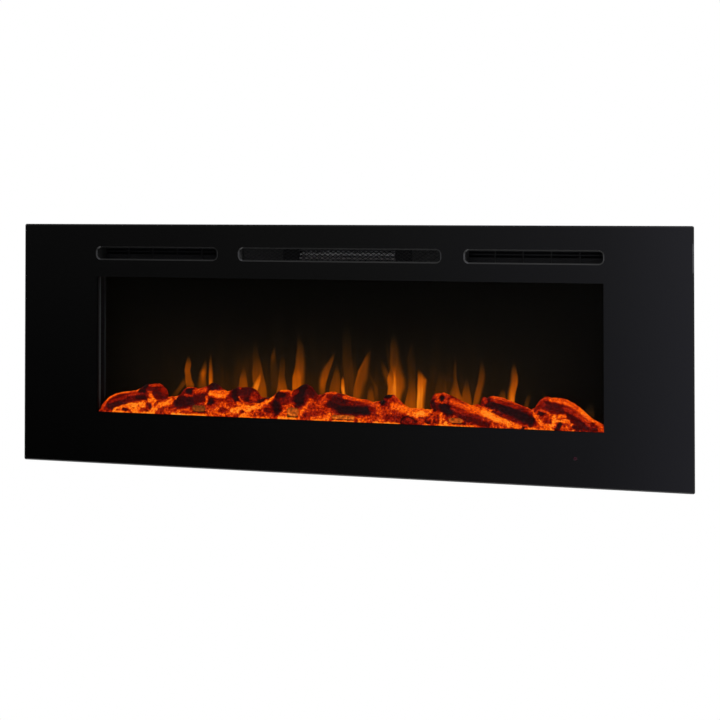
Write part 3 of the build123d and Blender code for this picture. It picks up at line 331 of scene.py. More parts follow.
FIN_LIGHT_REACH = 18 * MM     # the heater's painted light and shade run this far over and under the slot's middle
FIN_LIGHT_STOPS = [           # from the lower end of that reach to the upper one: darker and warmer below, a painted band of light across the slot's middle, darker above
    (0.05, grey(0.40, (1, 0.94, 0.93))), (0.38, grey(0.62, (1, 0.93, 0.92))), (0.45, grey(0.98)),
    (0.58, grey(0.98)), (0.64, grey(0.25)), (0.72, grey(0.08)),
]


def heater_fins():
    """Thin rolled fins with a painted band of light across the slot's middle, where light falls in through
    the slot, darker above it and darker and warmer below.
    """
    finish, _ = rolled_metal("heater_fins", 0.3, FIN_GRAIN, FIN_ROUGH)
    height = finish.wavering(finish.axes(finish.place())["Z"], 260.0, 2.0, 0.8 * MM)
    share = finish.spread(height, 0.0, 1.0, SLOT_Z - FIN_LIGHT_REACH, SLOT_Z + FIN_LIGHT_REACH)
    # the fins' colour is painted light: a bright band across the slot's middle, darker above and below
    finish.feed(finish.ramp(share, FIN_LIGHT_STOPS), "Base Color")
    return finish.material


def brass():
    """Terminals and gland, slightly dulled."""
    finish = Finish("brass", Metallic=1.0)
    grain = finish.noise(500.0, 3.0)
    finish.colour(grain, (0.52, 0.36, 0.13), (0.66, 0.49, 0.2))
    finish.rough(grain, 0.3, 0.45)
    return finish.material


def green_board():
    """Solder mask over copper tracks."""
    finish = Finish("green_board", Roughness=0.3)
    values = {"Vector": finish.stretched((60, 60, 60)), "Scale": 5.0, "Mortar Size": 0.06}
    tracks = finish.add("TexBrick", values).outputs["Fac"]
    under = finish.ramp(finish.noise(70.0), [(0.3, (0.010, 0.075, 0.035)), (0.7, (0.014, 0.10, 0.048))])
    values = {"Factor": tracks, "A": under, "B": (0.03, 0.20, 0.09, 1)}
    finish.feed(finish.add("Mix", values, data_type="RGBA").outputs["Result"], "Base Color")
    finish.bump(tracks, 0.0002, 0.4)
    return finish.material


# ---- glowing finishes ---------------------------------------------------------------------
EMBER_STOPS = [         # from charred to white hot
    (0.00, (0.0050, 0.0026, 0.0026)), (0.12, (0.020, 0.0022, 0.0022)), (0.22, (0.054, 0.0018, 0.0012)),
    (0.34, (0.125, 0.0024, 0.0006)), (0.46, (0.27, 0.007, 0.0008)), (0.58, (0.50, 0.026, 0.001)),
    (0.70, (0.78, 0.066, 0.001)), (0.80, (1.0, 0.125, 0.001)), (0.90, (1.0, 0.20, 0.002)),
    (1.00, (1.0, 0.30, 0.020)),
]
MOTTLE_SIZE = 5 * MM


def ember_glow(name, grain_size, grain_share):
    """Cast resin lit from inside: the heat of each place is on the mesh."""
    finish = Finish(name, Roughness=0.8, Specular_IOR_Level=0.05)
    heat = finish.add("Attribute", attribute_name="ember_heat").outputs["Fac"]
    grain = finish.noise(1 / grain_size, 4.0, 0.65)
    swing = finish.spread(grain, 1 - grain_share, 1 + grain_share)
    mottle = finish.spread(finish.noise(1 / MOTTLE_SIZE, 5.0, 0.7), -0.11, 0.08)
    finish.glow(finish.math("MULTIPLY_ADD", heat, swing, mottle, use_clamp=True), EMBER_STOPS)
    finish.colour(grain, (0.0010, 0.0007, 0.0009), (0.0030, 0.0018, 0.0020))
    finish.bump(grain, 0.0008, 0.5)
    return finish.material


FLAME_STOPS = [         # from the dark screen to the heart of a flame
    (0.00, (0.0004, 0.0003, 0.0001)), (0.05, (0.0036, 0.0024, 0.0012)), (0.12, (0.0100, 0.0052, 0.0018)),
    (0.22, (0.034, 0.0110, 0.0014)), (0.35, (0.10, 0.023, 0.0015)), (0.50, (0.21, 0.040, 0.001)),
    (0.70, (0.43, 0.078, 0.001)), (0.85, (0.64, 0.130, 0.003)), (1.00, (0.92, 0.26, 0.010)),
]


def flame_glow():
    """The smoked screen with the flame picture thrown on its back."""
    finish = Finish("flame_glow", Roughness=0.6, Specular_IOR_Level=0.02)
    finish.glow(finish.add("Attribute", attribute_name="light").outputs["Fac"], FLAME_STOPS)
    finish.colour(finish.noise(8.0, 3.0), grey(0.0003), grey(0.0005))
    return finish.material


PANE_STOPS = [
    (0.00, (0.010, 0.003, 0.0005)), (0.30, (0.15, 0.030, 0.001)), (0.65, (0.54, 0.080, 0.002)),
    (1.00, (0.88, 0.220, 0.015)),
]


def amber_glow():
    """Clouded amber resin over the lamps."""
    finish = Finish("amber_glow", Roughness=0.6, Specular_IOR_Level=0.1)
    light = finish.add("Attribute", attribute_name="light").outputs["Fac"]
    cloud = finish.spread(finish.noise(190.0, 4.0, 0.65), 0.25, 1.6)
    finish.glow(finish.math("MULTIPLY", light, cloud, use_clamp=True), PANE_STOPS)
    finish.colour(cloud, (0.02, 0.01, 0.003), (0.03, 0.014, 0.004))
    return finish.material


LENS_STOPS = [          # power lamp from its middle to its rim
    (0.0, (0.012, 0.0, 0.001)), (0.20, (0.014, 0.0002, 0.002)), (0.42, (0.032, 0.0036, 0.0110)),
    (0.56, (0.021, 0.0016, 0.0060)), (0.78, (0.006, 0.0, 0.0006)), (1.0, (0.0002, 0.0, 0.0)),
]


def red_lens():
    """The power lamp under the print: a ring of light with a soft rim."""
    finish = Finish("red_lens", Roughness=0.5, Specular_IOR_Level=0.0)
    finish.glow(finish.spread(finish.away(LAMP), 0.0, 1.0, 0.0, LAMP_R), LENS_STOPS)
    finish.surface.inputs["Base Color"].default_value = (0.0010, 0.0004, 0.0005, 1)
    return finish.material


# ---- mesh helpers -------------------------------------------------------------------------
def smooth_noise(point, size, octaves=3):
    """Fractal noise of about -1 to 1, with features of the given size."""
    return noise.fractal(Vector(point) / size, 0.9, 2.1, octaves)


def mesh_of(build, name):
    mesh = bpy.data.meshes.new(name)
    build.to_mesh(mesh)
    build.free()
    return mesh


def placed(mesh, name, thickness=None):
    """Puts a mesh into the scene, as it is or as a sheet with a thickness behind it."""
    piece = bpy.data.objects.new(name, mesh)
    bpy.context.scene.collection.objects.link(piece)
    if thickness:
        piece.modifiers.new("body", "SOLIDIFY").thickness = thickness
    return piece


def remeshed(node, name, voxel, rounds):
    """A fine, softened copy of a CAD node."""
    copy = placed(nodes[node].data.copy(), name)
    grid = copy.modifiers.new("grid", "REMESH")
    grid.mode = "VOXEL"
    grid.voxel_size = voxel
    soften = copy.modifiers.new("soften", "SMOOTH")
    soften.factor = 0.5
    soften.iterations = rounds
    graph = bpy.context.evaluated_depsgraph_get()
    mesh = bpy.data.meshes.new_from_object(copy.evaluated_get(graph))
    bpy.data.objects.remove(copy)
    mesh.materials.clear()
    return placed(mesh, name)


def read_points(mesh):
    points = np.zeros(len(mesh.vertices) * 3)
    mesh.vertices.foreach_get("co", points)
    normals = np.zeros(len(mesh.vertices) * 3)
    mesh.vertex_normals.foreach_get("vector", normals)
    return points.reshape(-1, 3), normals.reshape(-1, 3)


def write_points(mesh, points, name, values):
    mesh.vertices.foreach_set("co", points.astype(np.float32).ravel())
    attribute = mesh.attributes.new(name, "FLOAT", "POINT")
    attribute.data.foreach_set("value", np.asarray(values, np.float32))
    mesh.polygons.foreach_set("use_smooth", [True] * len(mesh.polygons))
    mesh.update()


def finished(piece, material, body="frame", replaces=()):
    piece.data.materials.append(material)
    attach(piece, body)
    if replaces:
        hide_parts(*replaces)
    return piece


# ---- logs and embers ----------------------------------------------------------------------
LOG_VOXEL = 1.4 * MM
BED_VOXEL = 1.6 * MM
LOG_HEAT = 0.36         # heat before the strokes are laid
BED_HEAT = 0.50
LOG_STATIONS = 25
BED_STATIONS = 140
SWAY_SIZE = 6 * MM      # how often the strokes' edges wander
SWAY_SEED = 7           # and the draw they follow, the same each run
FRONT_LIMIT = GLASS_BACK + 0.8 * MM
BED_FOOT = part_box("ember_bed")[0].z
BARK_RISE = 1.8         # mm that bark stands over a log's upper edge
LOG_TOPS = {            # upper edge of each carved log: x and z in mm
    "log_a": [
        (-574, -148), (-571, -136), (-564, -127), (-552, -118), (-538, -112), (-515, -107), (-490, -104.5),
        (-482, -101), (-473, -97), (-467, -91), (-459, -88.5), (-455, -91), (-445, -89), (-434, -88),
        (-426, -91), (-419, -97), (-415, -106),
    ],
    "log_b": [
        (-386, -114), (-377, -107), (-370, -98), (-361, -93), (-345, -92.5), (-336, -95), (-322, -91),
        (-312, -88), (-304, -82), (-295, -80), (-286, -84), (-276, -92), (-266, -98),
    ],
    "log_c": [
        (-268, -100), (-258, -97), (-250, -93), (-243, -89), (-236, -90), (-218, -89), (-205, -91),
        (-195, -97), (-188, -107),
    ],
    "log_d": [
        (-152, -102), (-147, -96), (-140, -92.5), (-122, -91.5), (-115, -93), (-104, -88), (-94, -81.5),
        (-84, -77), (-75, -78.5), (-67, -84), (-60, -94), (-54, -101),
    ],
    "log_e": [
        (-52, -105), (-42, -99), (-33, -94), (-20, -92.5), (-5, -93.5), (10, -96), (28, -101.5), (42, -104.5),
        (62, -105.5), (74, -110), (83, -117),
    ],
    "log_f": [
        (90, -112), (97, -105), (99, -96), (104, -94), (120, -92.5), (127, -98), (136, -107), (146, -117),
        (156, -122), (175, -124), (205, -125),
    ],
    "log_g": [
        (204, -103), (206, -93), (212, -87), (222, -85), (234, -86), (248, -91), (270, -100.5), (290, -110),
        (312, -115), (345, -122), (374, -130), (396, -142), (405, -149),
    ],
    "log_h": [
        (313, -102), (315, -94), (319, -93), (324, -95.5), (331, -91.5), (339, -89.5), (355, -92),
        (377, -98.5), (395, -106), (411, -110), (423, -116), (431, -126),
    ],
    "log_i": [
        (429, -113), (435, -100), (441, -92), (449, -87.5), (457, -86), (464, -88.5), (480, -88), (497, -91),
        (512, -97), (526, -106), (540, -118), (552, -127), (564, -132.5), (577, -135),
    ],
}
LOG_FEET = {            # their lower edge, at the first and last station and in between
    "log_a": [(-574, -157), (-540, -152), (-500, -138), (-470, -128), (-409, -126)],
    "log_b": [(-386, -130), (-345, -136), (-300, -128), (-266, -116)],
    "log_c": [(-268, -124), (-188, -128)],
    "log_d": [(-152, -140), (-110, -128), (-54, -118)],
    "log_e": [(-52, -126), (0, -139), (83, -138)],
    "log_f": [(90, -126), (140, -138), (205, -140)],
    "log_g": [(204, -124), (228, -134), (275, -146), (340, -157), (405, -157)],
    "log_h": [(313, -118), (360, -128), (400, -142), (431, -148)],
    "log_i": [(429, -126), (470, -123), (500, -128), (540, -152), (577, -157)],
}
BED_TOPS = [            # the bed's crest between and behind the logs
    (-577, -150), (-560, -142), (-520, -124), (-480, -118), (-420, -123), (-408, -118), (-396, -118),
    (-386, -115), (-372, -113), (-280, -112), (-262, -106), (-200, -112), (-183, -113.5), (-166, -113),
    (-157, -108), (-152, -102), (-140, -108), (-100, -106), (-60, -104), (-48, -102.5), (-35, -108),
    (60, -116), (84, -112), (97, -111), (120, -112), (150, -124), (206, -125), (216, -118), (290, -114),
    (302, -111), (316, -114), (420, -118), (429, -112), (440, -112), (530, -128), (562, -140), (577, -152),
]
HOLES = (               # x in the CAD, x and height of the middle, share of width and height, reach
    (-331, -329, 18, 0.70, 0.95, 40), (-108, -106, 17.5, 0.62, 1.05, 38), (8, 10, 10.5, 0.82, 0.85, 52),
    (256, 262, 14, 0.80, 0.75, 38),
)
STROKES = (             # from x, z to x, z, half width in mm, and the heat laid there
    (-545, -140, -515, -126, 12, .16), (-515, -126, -490, -118, 9, .28), (-440, -105, -420, -112, 12, .24),
    (-380, -128, -345, -122, 14, .14), (-335, -118, -320, -112, 12, .24), (-300, -92, -292, -90, 11, .15),
    (-235, -100, -208, -100, 12, .22), (-246, -98, -242, -118, 7, .08), (-185, -120, -172, -117, 6, .16),
    (-148, -124, -142, -136, 11, .07), (-168, -138, -158, -138, 6, .25), (-86, -88, -94, -116, 13, .06),
    (-70, -92, -64, -100, 8, .22), (-20, -118, 0, -128, 9, .14), (5, -130, 64, -131, 10, .05),
    (-10, -108, 14, -112, 7, .20), (235, -116, 246, -124, 12, .07), (210, -106, 214, -122, 6, .15),
    (272, -134, 330, -150, 7, .24), (330, -107, 362, -114, 10, .12), (362, -114, 424, -138, 11, .07),
    (460, -104, 488, -114, 10, .24), (505, -124, 534, -146, 9, .20), (545, -151, 560, -151, 5, .25),
    (-600, -150, -575, -150, 4, .10), (-569, -153, -566, -140, 7, .50), (-567, -140, -557, -128, 6, .60),
    (-559, -127, -540, -115.5, 4.4, .72), (-540, -115.5, -515, -109.5, 3.6, .74),
    (-515, -109.5, -482, -105, 3.8, .76), (-550, -133, -500, -116, 4, .40), (-500, -114, -478, -111, 5, .46),
    (-464, -95, -463, -95, 6, .03), (-476, -105, -462, -106, 4, .10), (-478, -121, -464, -121, 6, .14),
    (-455, -94, -424, -93, 2.6, .52), (-419, -103, -416, -108, 7, .42), (-452, -108, -446, -107, 2.6, .54),
    (-448, -114, -441, -126, 5, .80), (-454, -127, -441, -127, 4, .82), (-442, -134, -441, -138, 4, .74),
    (-453, -137, -449, -140, 6, .30), (-540, -154, -534, -149, 2.4, .90),
    (-534, -148, -520, -144.5, 2.6, .84), (-520, -144.5, -502, -138, 3.2, .82),
    (-512, -149, -505, -148, 4, .18), (-500, -140, -466, -137, 7, .90), (-490, -150, -476, -150, 6, .84),
    (-468, -150, -457, -149, 5, .46), (-444, -152, -425, -137, 6, .84), (-425, -137, -400, -127, 6, .86),
    (-400, -127, -387, -116, 3.6, .70), (-425, -147, -384, -144, 5, .48), (-384, -150, -352, -141, 2.6, .62),
    (-358, -102, -346, -102, 6, .05), (-366, -95, -348, -94, 1.8, .58), (-340, -103, -316, -98, 7, .58),
    (-362, -112, -346, -112, 3, .52), (-296, -84, -293, -84, 5, .10), (-300, -106, -270, -110, 7, .88),
    (-290, -101, -262, -103, 4, .74), (-292, -121, -250, -119, 4.5, .42), (-313, -130, -310, -114, 3, .66),
    (-302, -125, -301, -124, 8, .10), (-303, -147, -300, -149, 8, .66), (-288, -142, -276, -131, 3.4, .78),
    (-276, -131, -261, -134, 3.4, .76), (-287, -146, -268, -153, 3, .74), (-275, -141, -270, -140, 7, .36),
    (-257, -145, -253, -146, 7, .62), (-246, -141, -215, -137, 7, .92), (-215, -137, -186, -130, 6, .90),
    (-186, -130, -168, -119, 4.6, .82), (-168, -119, -156, -109, 3.6, .78),
    (-156, -109, -152, -101, 2.4, .70), (-227, -143, -225, -142, 4, .36), (-226, -153, -210, -148, 5, .84),
    (-204, -150, -190, -144, 5, .56), (-200, -106, -199, -113, 8, .46), (-233, -112, -222, -128, 2.4, .68),
    (-238, -125, -222, -134, 3, .74), (-216, -116, -214, -116, 5, .14), (-236, -92, -234, -94, 2.4, .50),
    (-144, -103, -142, -106, 8, .09), (-133, -102, -130, -103, 6, .12), (-140, -94.5, -114, -95, 2.6, .74),
    (-114, -95, -110, -101, 4, .66), (-106, -101, -97, -95, 4, .40), (-120, -130, -108, -122, 6, .56),
    (-132, -145, -118, -138, 6, .62), (-138, -152, -104, -153, 3, .94), (-95, -152, -80, -133, 5, .64),
    (-80, -133, -66, -113, 5, .66), (-75, -146, -52, -142, 7, .40), (-62, -152, -42, -149, 4, .66),
    (-45, -122, -30, -106, 8, .60), (-33, -96, -10, -95, 2.6, .68), (-30, -150, -22, -144, 5, .76),
    (-27, -103, -24, -104, 4, .36), (12, -103, 56, -108.5, 4, .66), (56, -108.5, 79, -118, 4, .62),
    (72, -126, 79, -132, 4, .38), (88, -119, 92, -134, 6, .60), (86, -139, 89, -139, 3, .34),
    (45, -147, 98, -148, 6, .56), (104, -143, 150, -139, 4.6, .34), (93, -109, 98, -112, 6, .01),
    (103, -98, 112, -97, 5, .01), (115, -106, 113, -114, 5, .48), (122, -98, 134, -112, 5, .56),
    (122, -118, 146, -124, 7, .76), (146, -125, 206, -127.5, 4, .74), (160, -134, 194, -134, 6, .84),
    (177, -134, 185, -134, 4, .96), (176, -149, 206, -149, 6, .50), (183, -141, 188, -141, 2, .34),
    (196, -148, 204, -151, 3, .22), (212, -132, 220, -132, 4, .52), (209, -138, 209, -152, 2, .66),
    (215, -138, 215, -150, 2, .34), (223, -134, 223, -150, 2, .30), (229, -132, 229, -154, 3, .84),
    (236, -134, 236, -148, 2, .60), (240, -150, 243, -152, 4, .94), (218, -94, 240, -92, 6, .60),
    (219, -104, 240, -105, 4, .58), (230, -97, 231, -97, 9, .64), (230, -97, 231, -98, 5.6, .0),
    (252, -104, 288, -116, 6, .66), (247, -92, 276, -107, 1.6, .26), (262, -98, 292, -112, 2.4, .62),
    (288, -118, 330, -128, 7, .72), (255, -118, 290, -130, 5, .44), (322, -126, 350, -136, 7, .94),
    (350, -136, 380, -146, 7, .88), (380, -147, 400, -152, 5, .80), (318, -117, 345, -124, 3, .72),
    (340, -151, 366, -154, 3, .56), (320, -97, 323, -103, 5, .46), (336, -91.5, 372, -98, 3.6, .66),
    (372, -98, 420, -112, 3.8, .64), (338, -99, 398, -114, 3, .44), (340, -123, 392, -139, 2.6, .32),
    (420, -112, 429, -124, 3.4, .66), (429, -124, 441, -139, 3.6, .70), (441, -139, 456, -149, 4, .78),
    (434, -122, 445, -114.5, 2.4, .60), (445, -114.5, 458, -118, 2.4, .60), (458, -118, 467, -130, 3, .60),
    (441, -122, 447, -124, 4, .16), (453, -129, 461, -136, 5, .46), (458, -147, 468, -150, 5, .76),
    (444, -92, 462, -90.5, 3.4, .54), (432, -107, 441, -97, 3.6, .50), (444, -98, 452, -102, 4, .44),
    (464, -92, 500, -98, 4.4, .70), (500, -98, 526, -112, 5, .70), (526, -112, 546, -129, 5, .84),
    (546, -130, 574, -141, 6, .72), (496, -110, 522, -122, 5, .48), (522, -122, 546, -140, 5, .52),
    (570, -140, 571, -150, 6, .62), (551, -139, 555, -140, 3, .30), (472, -130, 472, -142, 4, .92),
    (480, -128, 494, -126, 4, .72), (478, -137, 500, -135.5, 2.2, .90), (500, -135.5, 510, -143, 2.6, .74),
    (511, -144, 513, -153, 2.4, .74), (152, -157, 162, -157, 18, .33), (140, -152, 146, -142, 1.6, .14),
    (146, -142, 156, -138, 1.6, .12), (156, -138, 167, -142, 1.6, .12), (167, -142, 174, -151, 1.6, .16),
    (482, -150, 486, -142, 4, .10), (500, -156, 490, -146, 1.8, .62), (502, -156, 498, -143, 1.8, .66),
    (505, -156, 506, -144, 1.8, .60), (515, -147, 524, -150, 4, .18), (407, -154, 409, -154, 3, .14),
    (474, -155, 480, -154, 3, .16), (-344, -146, -312, -147, 1.5, .12), (-117, -147, -95, -148.5, 1.5, .20),
    (-14, -150, 34, -151.5, 1.4, .20), (246, -142, 256, -149, 1.4, .10), (256, -149, 284, -149, 1.4, .14),
)
FOOT_LINES = (          # where light leaks out under the bed: from x, to x, heat
    (-540, -500, .86), (-490, -440, .84), (-396, -312, .96), (-232, -202, .88), (-190, -162, .84),
    (-138, -100, .96), (-60, -24, .80), (-14, 34, .86), (46, 60, .74), (80, 136, .90), (190, 204, .72),
    (224, 300, .88), (412, 470, .76), (504, 512, .84),
)
FOOT_RISE = 2.2         # mm from the foot to that light, and half its height
FOOT_HALF = 1.9
CRISP_REACH = 4.5       # mm: narrower strokes have crisper edges


def strokes_over(places, heat):
    """Lays the strokes over a field of heat, in order, with soft edges."""
    x, z = places
    foot = BED_FOOT / MM + FOOT_RISE
    lines = [(start, foot, end, foot, FOOT_HALF, value) for start, end, value in FOOT_LINES]
    for x0, z0, x1, z1, reach, value in (*STROKES, *lines):
        run, rise = x1 - x0, z1 - z0
        share = np.clip(((x - x0) * run + (z - z0) * rise) / max(run * run + rise * rise, 1e-6), 0, 1)
        gap = np.hypot(x - x0 - share * run, z - z0 - share * rise) / reach
        weight = np.clip((1.4 - gap) / (0.7 if reach < CRISP_REACH else 0.95), 0, 1)
        heat += (value - heat) * weight * weight * (3 - 2 * weight)
    return heat


def strayed(x, z):
    """The place in mm at which the strokes are read, moved a little to make their edges ragged."""
    sway = noise.noise_vector(Vector((x, 0, z)) / SWAY_SIZE)
    return x / MM + 2.0 * sway.x, z / MM + 1.6 * sway.y


def burn(piece, points, places, base, grain, calm, lively):
    """Lays the heat on a carved piece, with more grain where it is hot, and keeps it in its room."""
    heat = strokes_over(np.array(places).T, np.full(len(points), base))
    heat += np.array(grain) * (calm + lively * np.clip((heat - 0.15) / 0.4, 0, 1))
    points[:, 1] = np.maximum(points[:, 1], FRONT_LIMIT)
    points[:, 2] = np.maximum(points[:, 2], BED_FOOT)
    write_points(piece.data, points, "ember_heat", heat)


def along_edge(x, z, count, pick):
    """The lowest or highest z of each stretch of x, read back at every point."""
    bins = np.linspace(x.min(), x.max(), count)
    found = [pick(z[(x >= start) & (x <= end)]) for start, end in zip(bins, bins[1:])]
    return np.interp(x, (bins[1:] + bins[:-1]) / 2, found)


def fitted(points, tops, feet):
    """Stretches a log between its upper and lower edge, station by station."""
    x, z = points[:, 0] / MM, points[:, 2] / MM
    low = along_edge(x, z, LOG_STATIONS, np.min)
    high = along_edge(x, z, LOG_STATIONS, np.max)
    share = np.clip((z - low) / (high - low), -0.05, 1.05)
    x = np.interp(x, (x.min(), x.max()), (tops[0][0], tops[-1][0]))
    top, foot = np.interp(x, *zip(*tops)) - BARK_RISE, np.interp(x, *zip(*feet))
    points[:, 0] = x * MM
    points[:, 2] = (foot + share * (top - foot)) * MM
    return share


def carve_log(name, material):
    """Bark ridges, lumps and char on a fine copy of one CAD log."""
    piece = remeshed(name, "carved_" + name, LOG_VOXEL, 4)
    points, normals = read_points(piece.data)
    share = fitted(points, LOG_TOPS[name], LOG_FEET[name])
    ragged, grain = [], []
    for i, (x, y, z) in enumerate(points):
        bark = smooth_noise((x * 0.16, y, share[i] * 22 * MM), 2.4 * MM, 3)
        lump = smooth_noise((x, y, z), 17 * MM, 2)
        points[i] += normals[i] * (0.8 * bark + 1.0 * lump) * MM
        ragged.append(strayed(x, z))
        grain.append(0.75 * bark + 0.5 * smooth_noise((x, y, z), 4 * MM, 3))
    burn(piece, points, ragged, LOG_HEAT, grain, 0.03, 0.17)
    return finished(piece, material, replaces=[name])


def shape_bed(points):
    """Moves the bed's openings and its crest to their places."""
    x, z = points[:, 0] / MM, points[:, 2] / MM
    foot = BED_FOOT / MM
    for place, middle, height, wide, tall, half in HOLES:
        near = np.exp(-((x - place) / half) ** 4 - ((z - foot - 12) / 15) ** 4)
        near = near * np.clip((z - foot) / 5, 0, 1)
        points[:, 0] += (middle - place + (x - place) * (wide - 1)) * near * MM
        points[:, 2] += (height - 10 + (z - foot - 10) * (tall - 1)) * near * MM
    x, z = points[:, 0] / MM, points[:, 2] / MM
    crest = along_edge(x, z, BED_STATIONS, np.max)
    stretch = (np.interp(x, *zip(*BED_TOPS)) - foot) / (crest - foot)
    upper = np.clip((z - foot - 16) / np.maximum(crest - foot - 16, 1), 0, 1)
    level = np.where(stretch < 0.6, stretch, 1 + (stretch - 1) * upper)
    points[:, 2] = (foot + (z - foot) * level) * MM


def carve_bed(material):
    """Broken embers over the cast bed: bright in the cracks, split in places along the foot."""
    piece = remeshed("ember_bed", "carved_bed", BED_VOXEL, 3)
    points, normals = read_points(piece.data)
    shape_bed(points)
    ragged, grain = [], []
    for i, (x, y, z) in enumerate(points):
        distances, _ = noise.voronoi(Vector((x * 0.8, y, z)) / (9 * MM))
        crack = min(1.0, 2.2 * (distances[1] - distances[0]))
        rough = smooth_noise((x, y, z), 5 * MM, 3)
        points[i] += normals[i] * (1.1 * crack + 0.9 * rough - 0.6) * MM
        ragged.append(strayed(x, z))
        grain.append(0.9 * rough + 0.6 * (0.5 - crack))
    burn(piece, points, ragged, BED_HEAT, grain, 0.04, 0.20)
    return finished(piece, material, replaces=["ember_bed"])


PANES = (               # amber panes in the openings: x, height over the foot, half sizes seen, heat
    (-329, 18, 17, 8.5, .34), (-106, 17.5, 15, 9, .62), (10, 10.5, 28, 6.5, .64), (262, 14, 18, 6.5, .54),
)
PANE_Y = GLASS_BACK + 7.0 * MM
PANE_CELLS = 10         # cells along each side of a pane
PANE_REACH = 1.25       # pane size over the size seen


def lit_panes(material):
    """Thin amber panes behind the openings in the bed, lit from inside and dark in their corners."""
    build = bmesh.new()
    light = []
    for x, height, half_x, half_z, bright in PANES:
        sheet = bmesh.ops.create_grid(build, x_segments=PANE_CELLS, y_segments=PANE_CELLS, size=1)["verts"]
        for point in sheet:
            across, up = PANE_REACH * point.co.x, PANE_REACH * point.co.y
            point.co = Vector((x + across * half_x, 0, height + up * half_z)) * MM
            point.co += Vector((0, PANE_Y, BED_FOOT))
            edge = min(max(1.75 - across ** 2 - up ** 2, 0.10), 1.0)
            light.append(bright * edge * (1 - 0.38 * up))
    mesh = mesh_of(build, "amber_panes")
    mesh.attributes.new("light", "FLOAT", "POINT").data.foreach_set("value", light)
    return finished(placed(mesh, "amber_panes", 0.8 * MM), material)


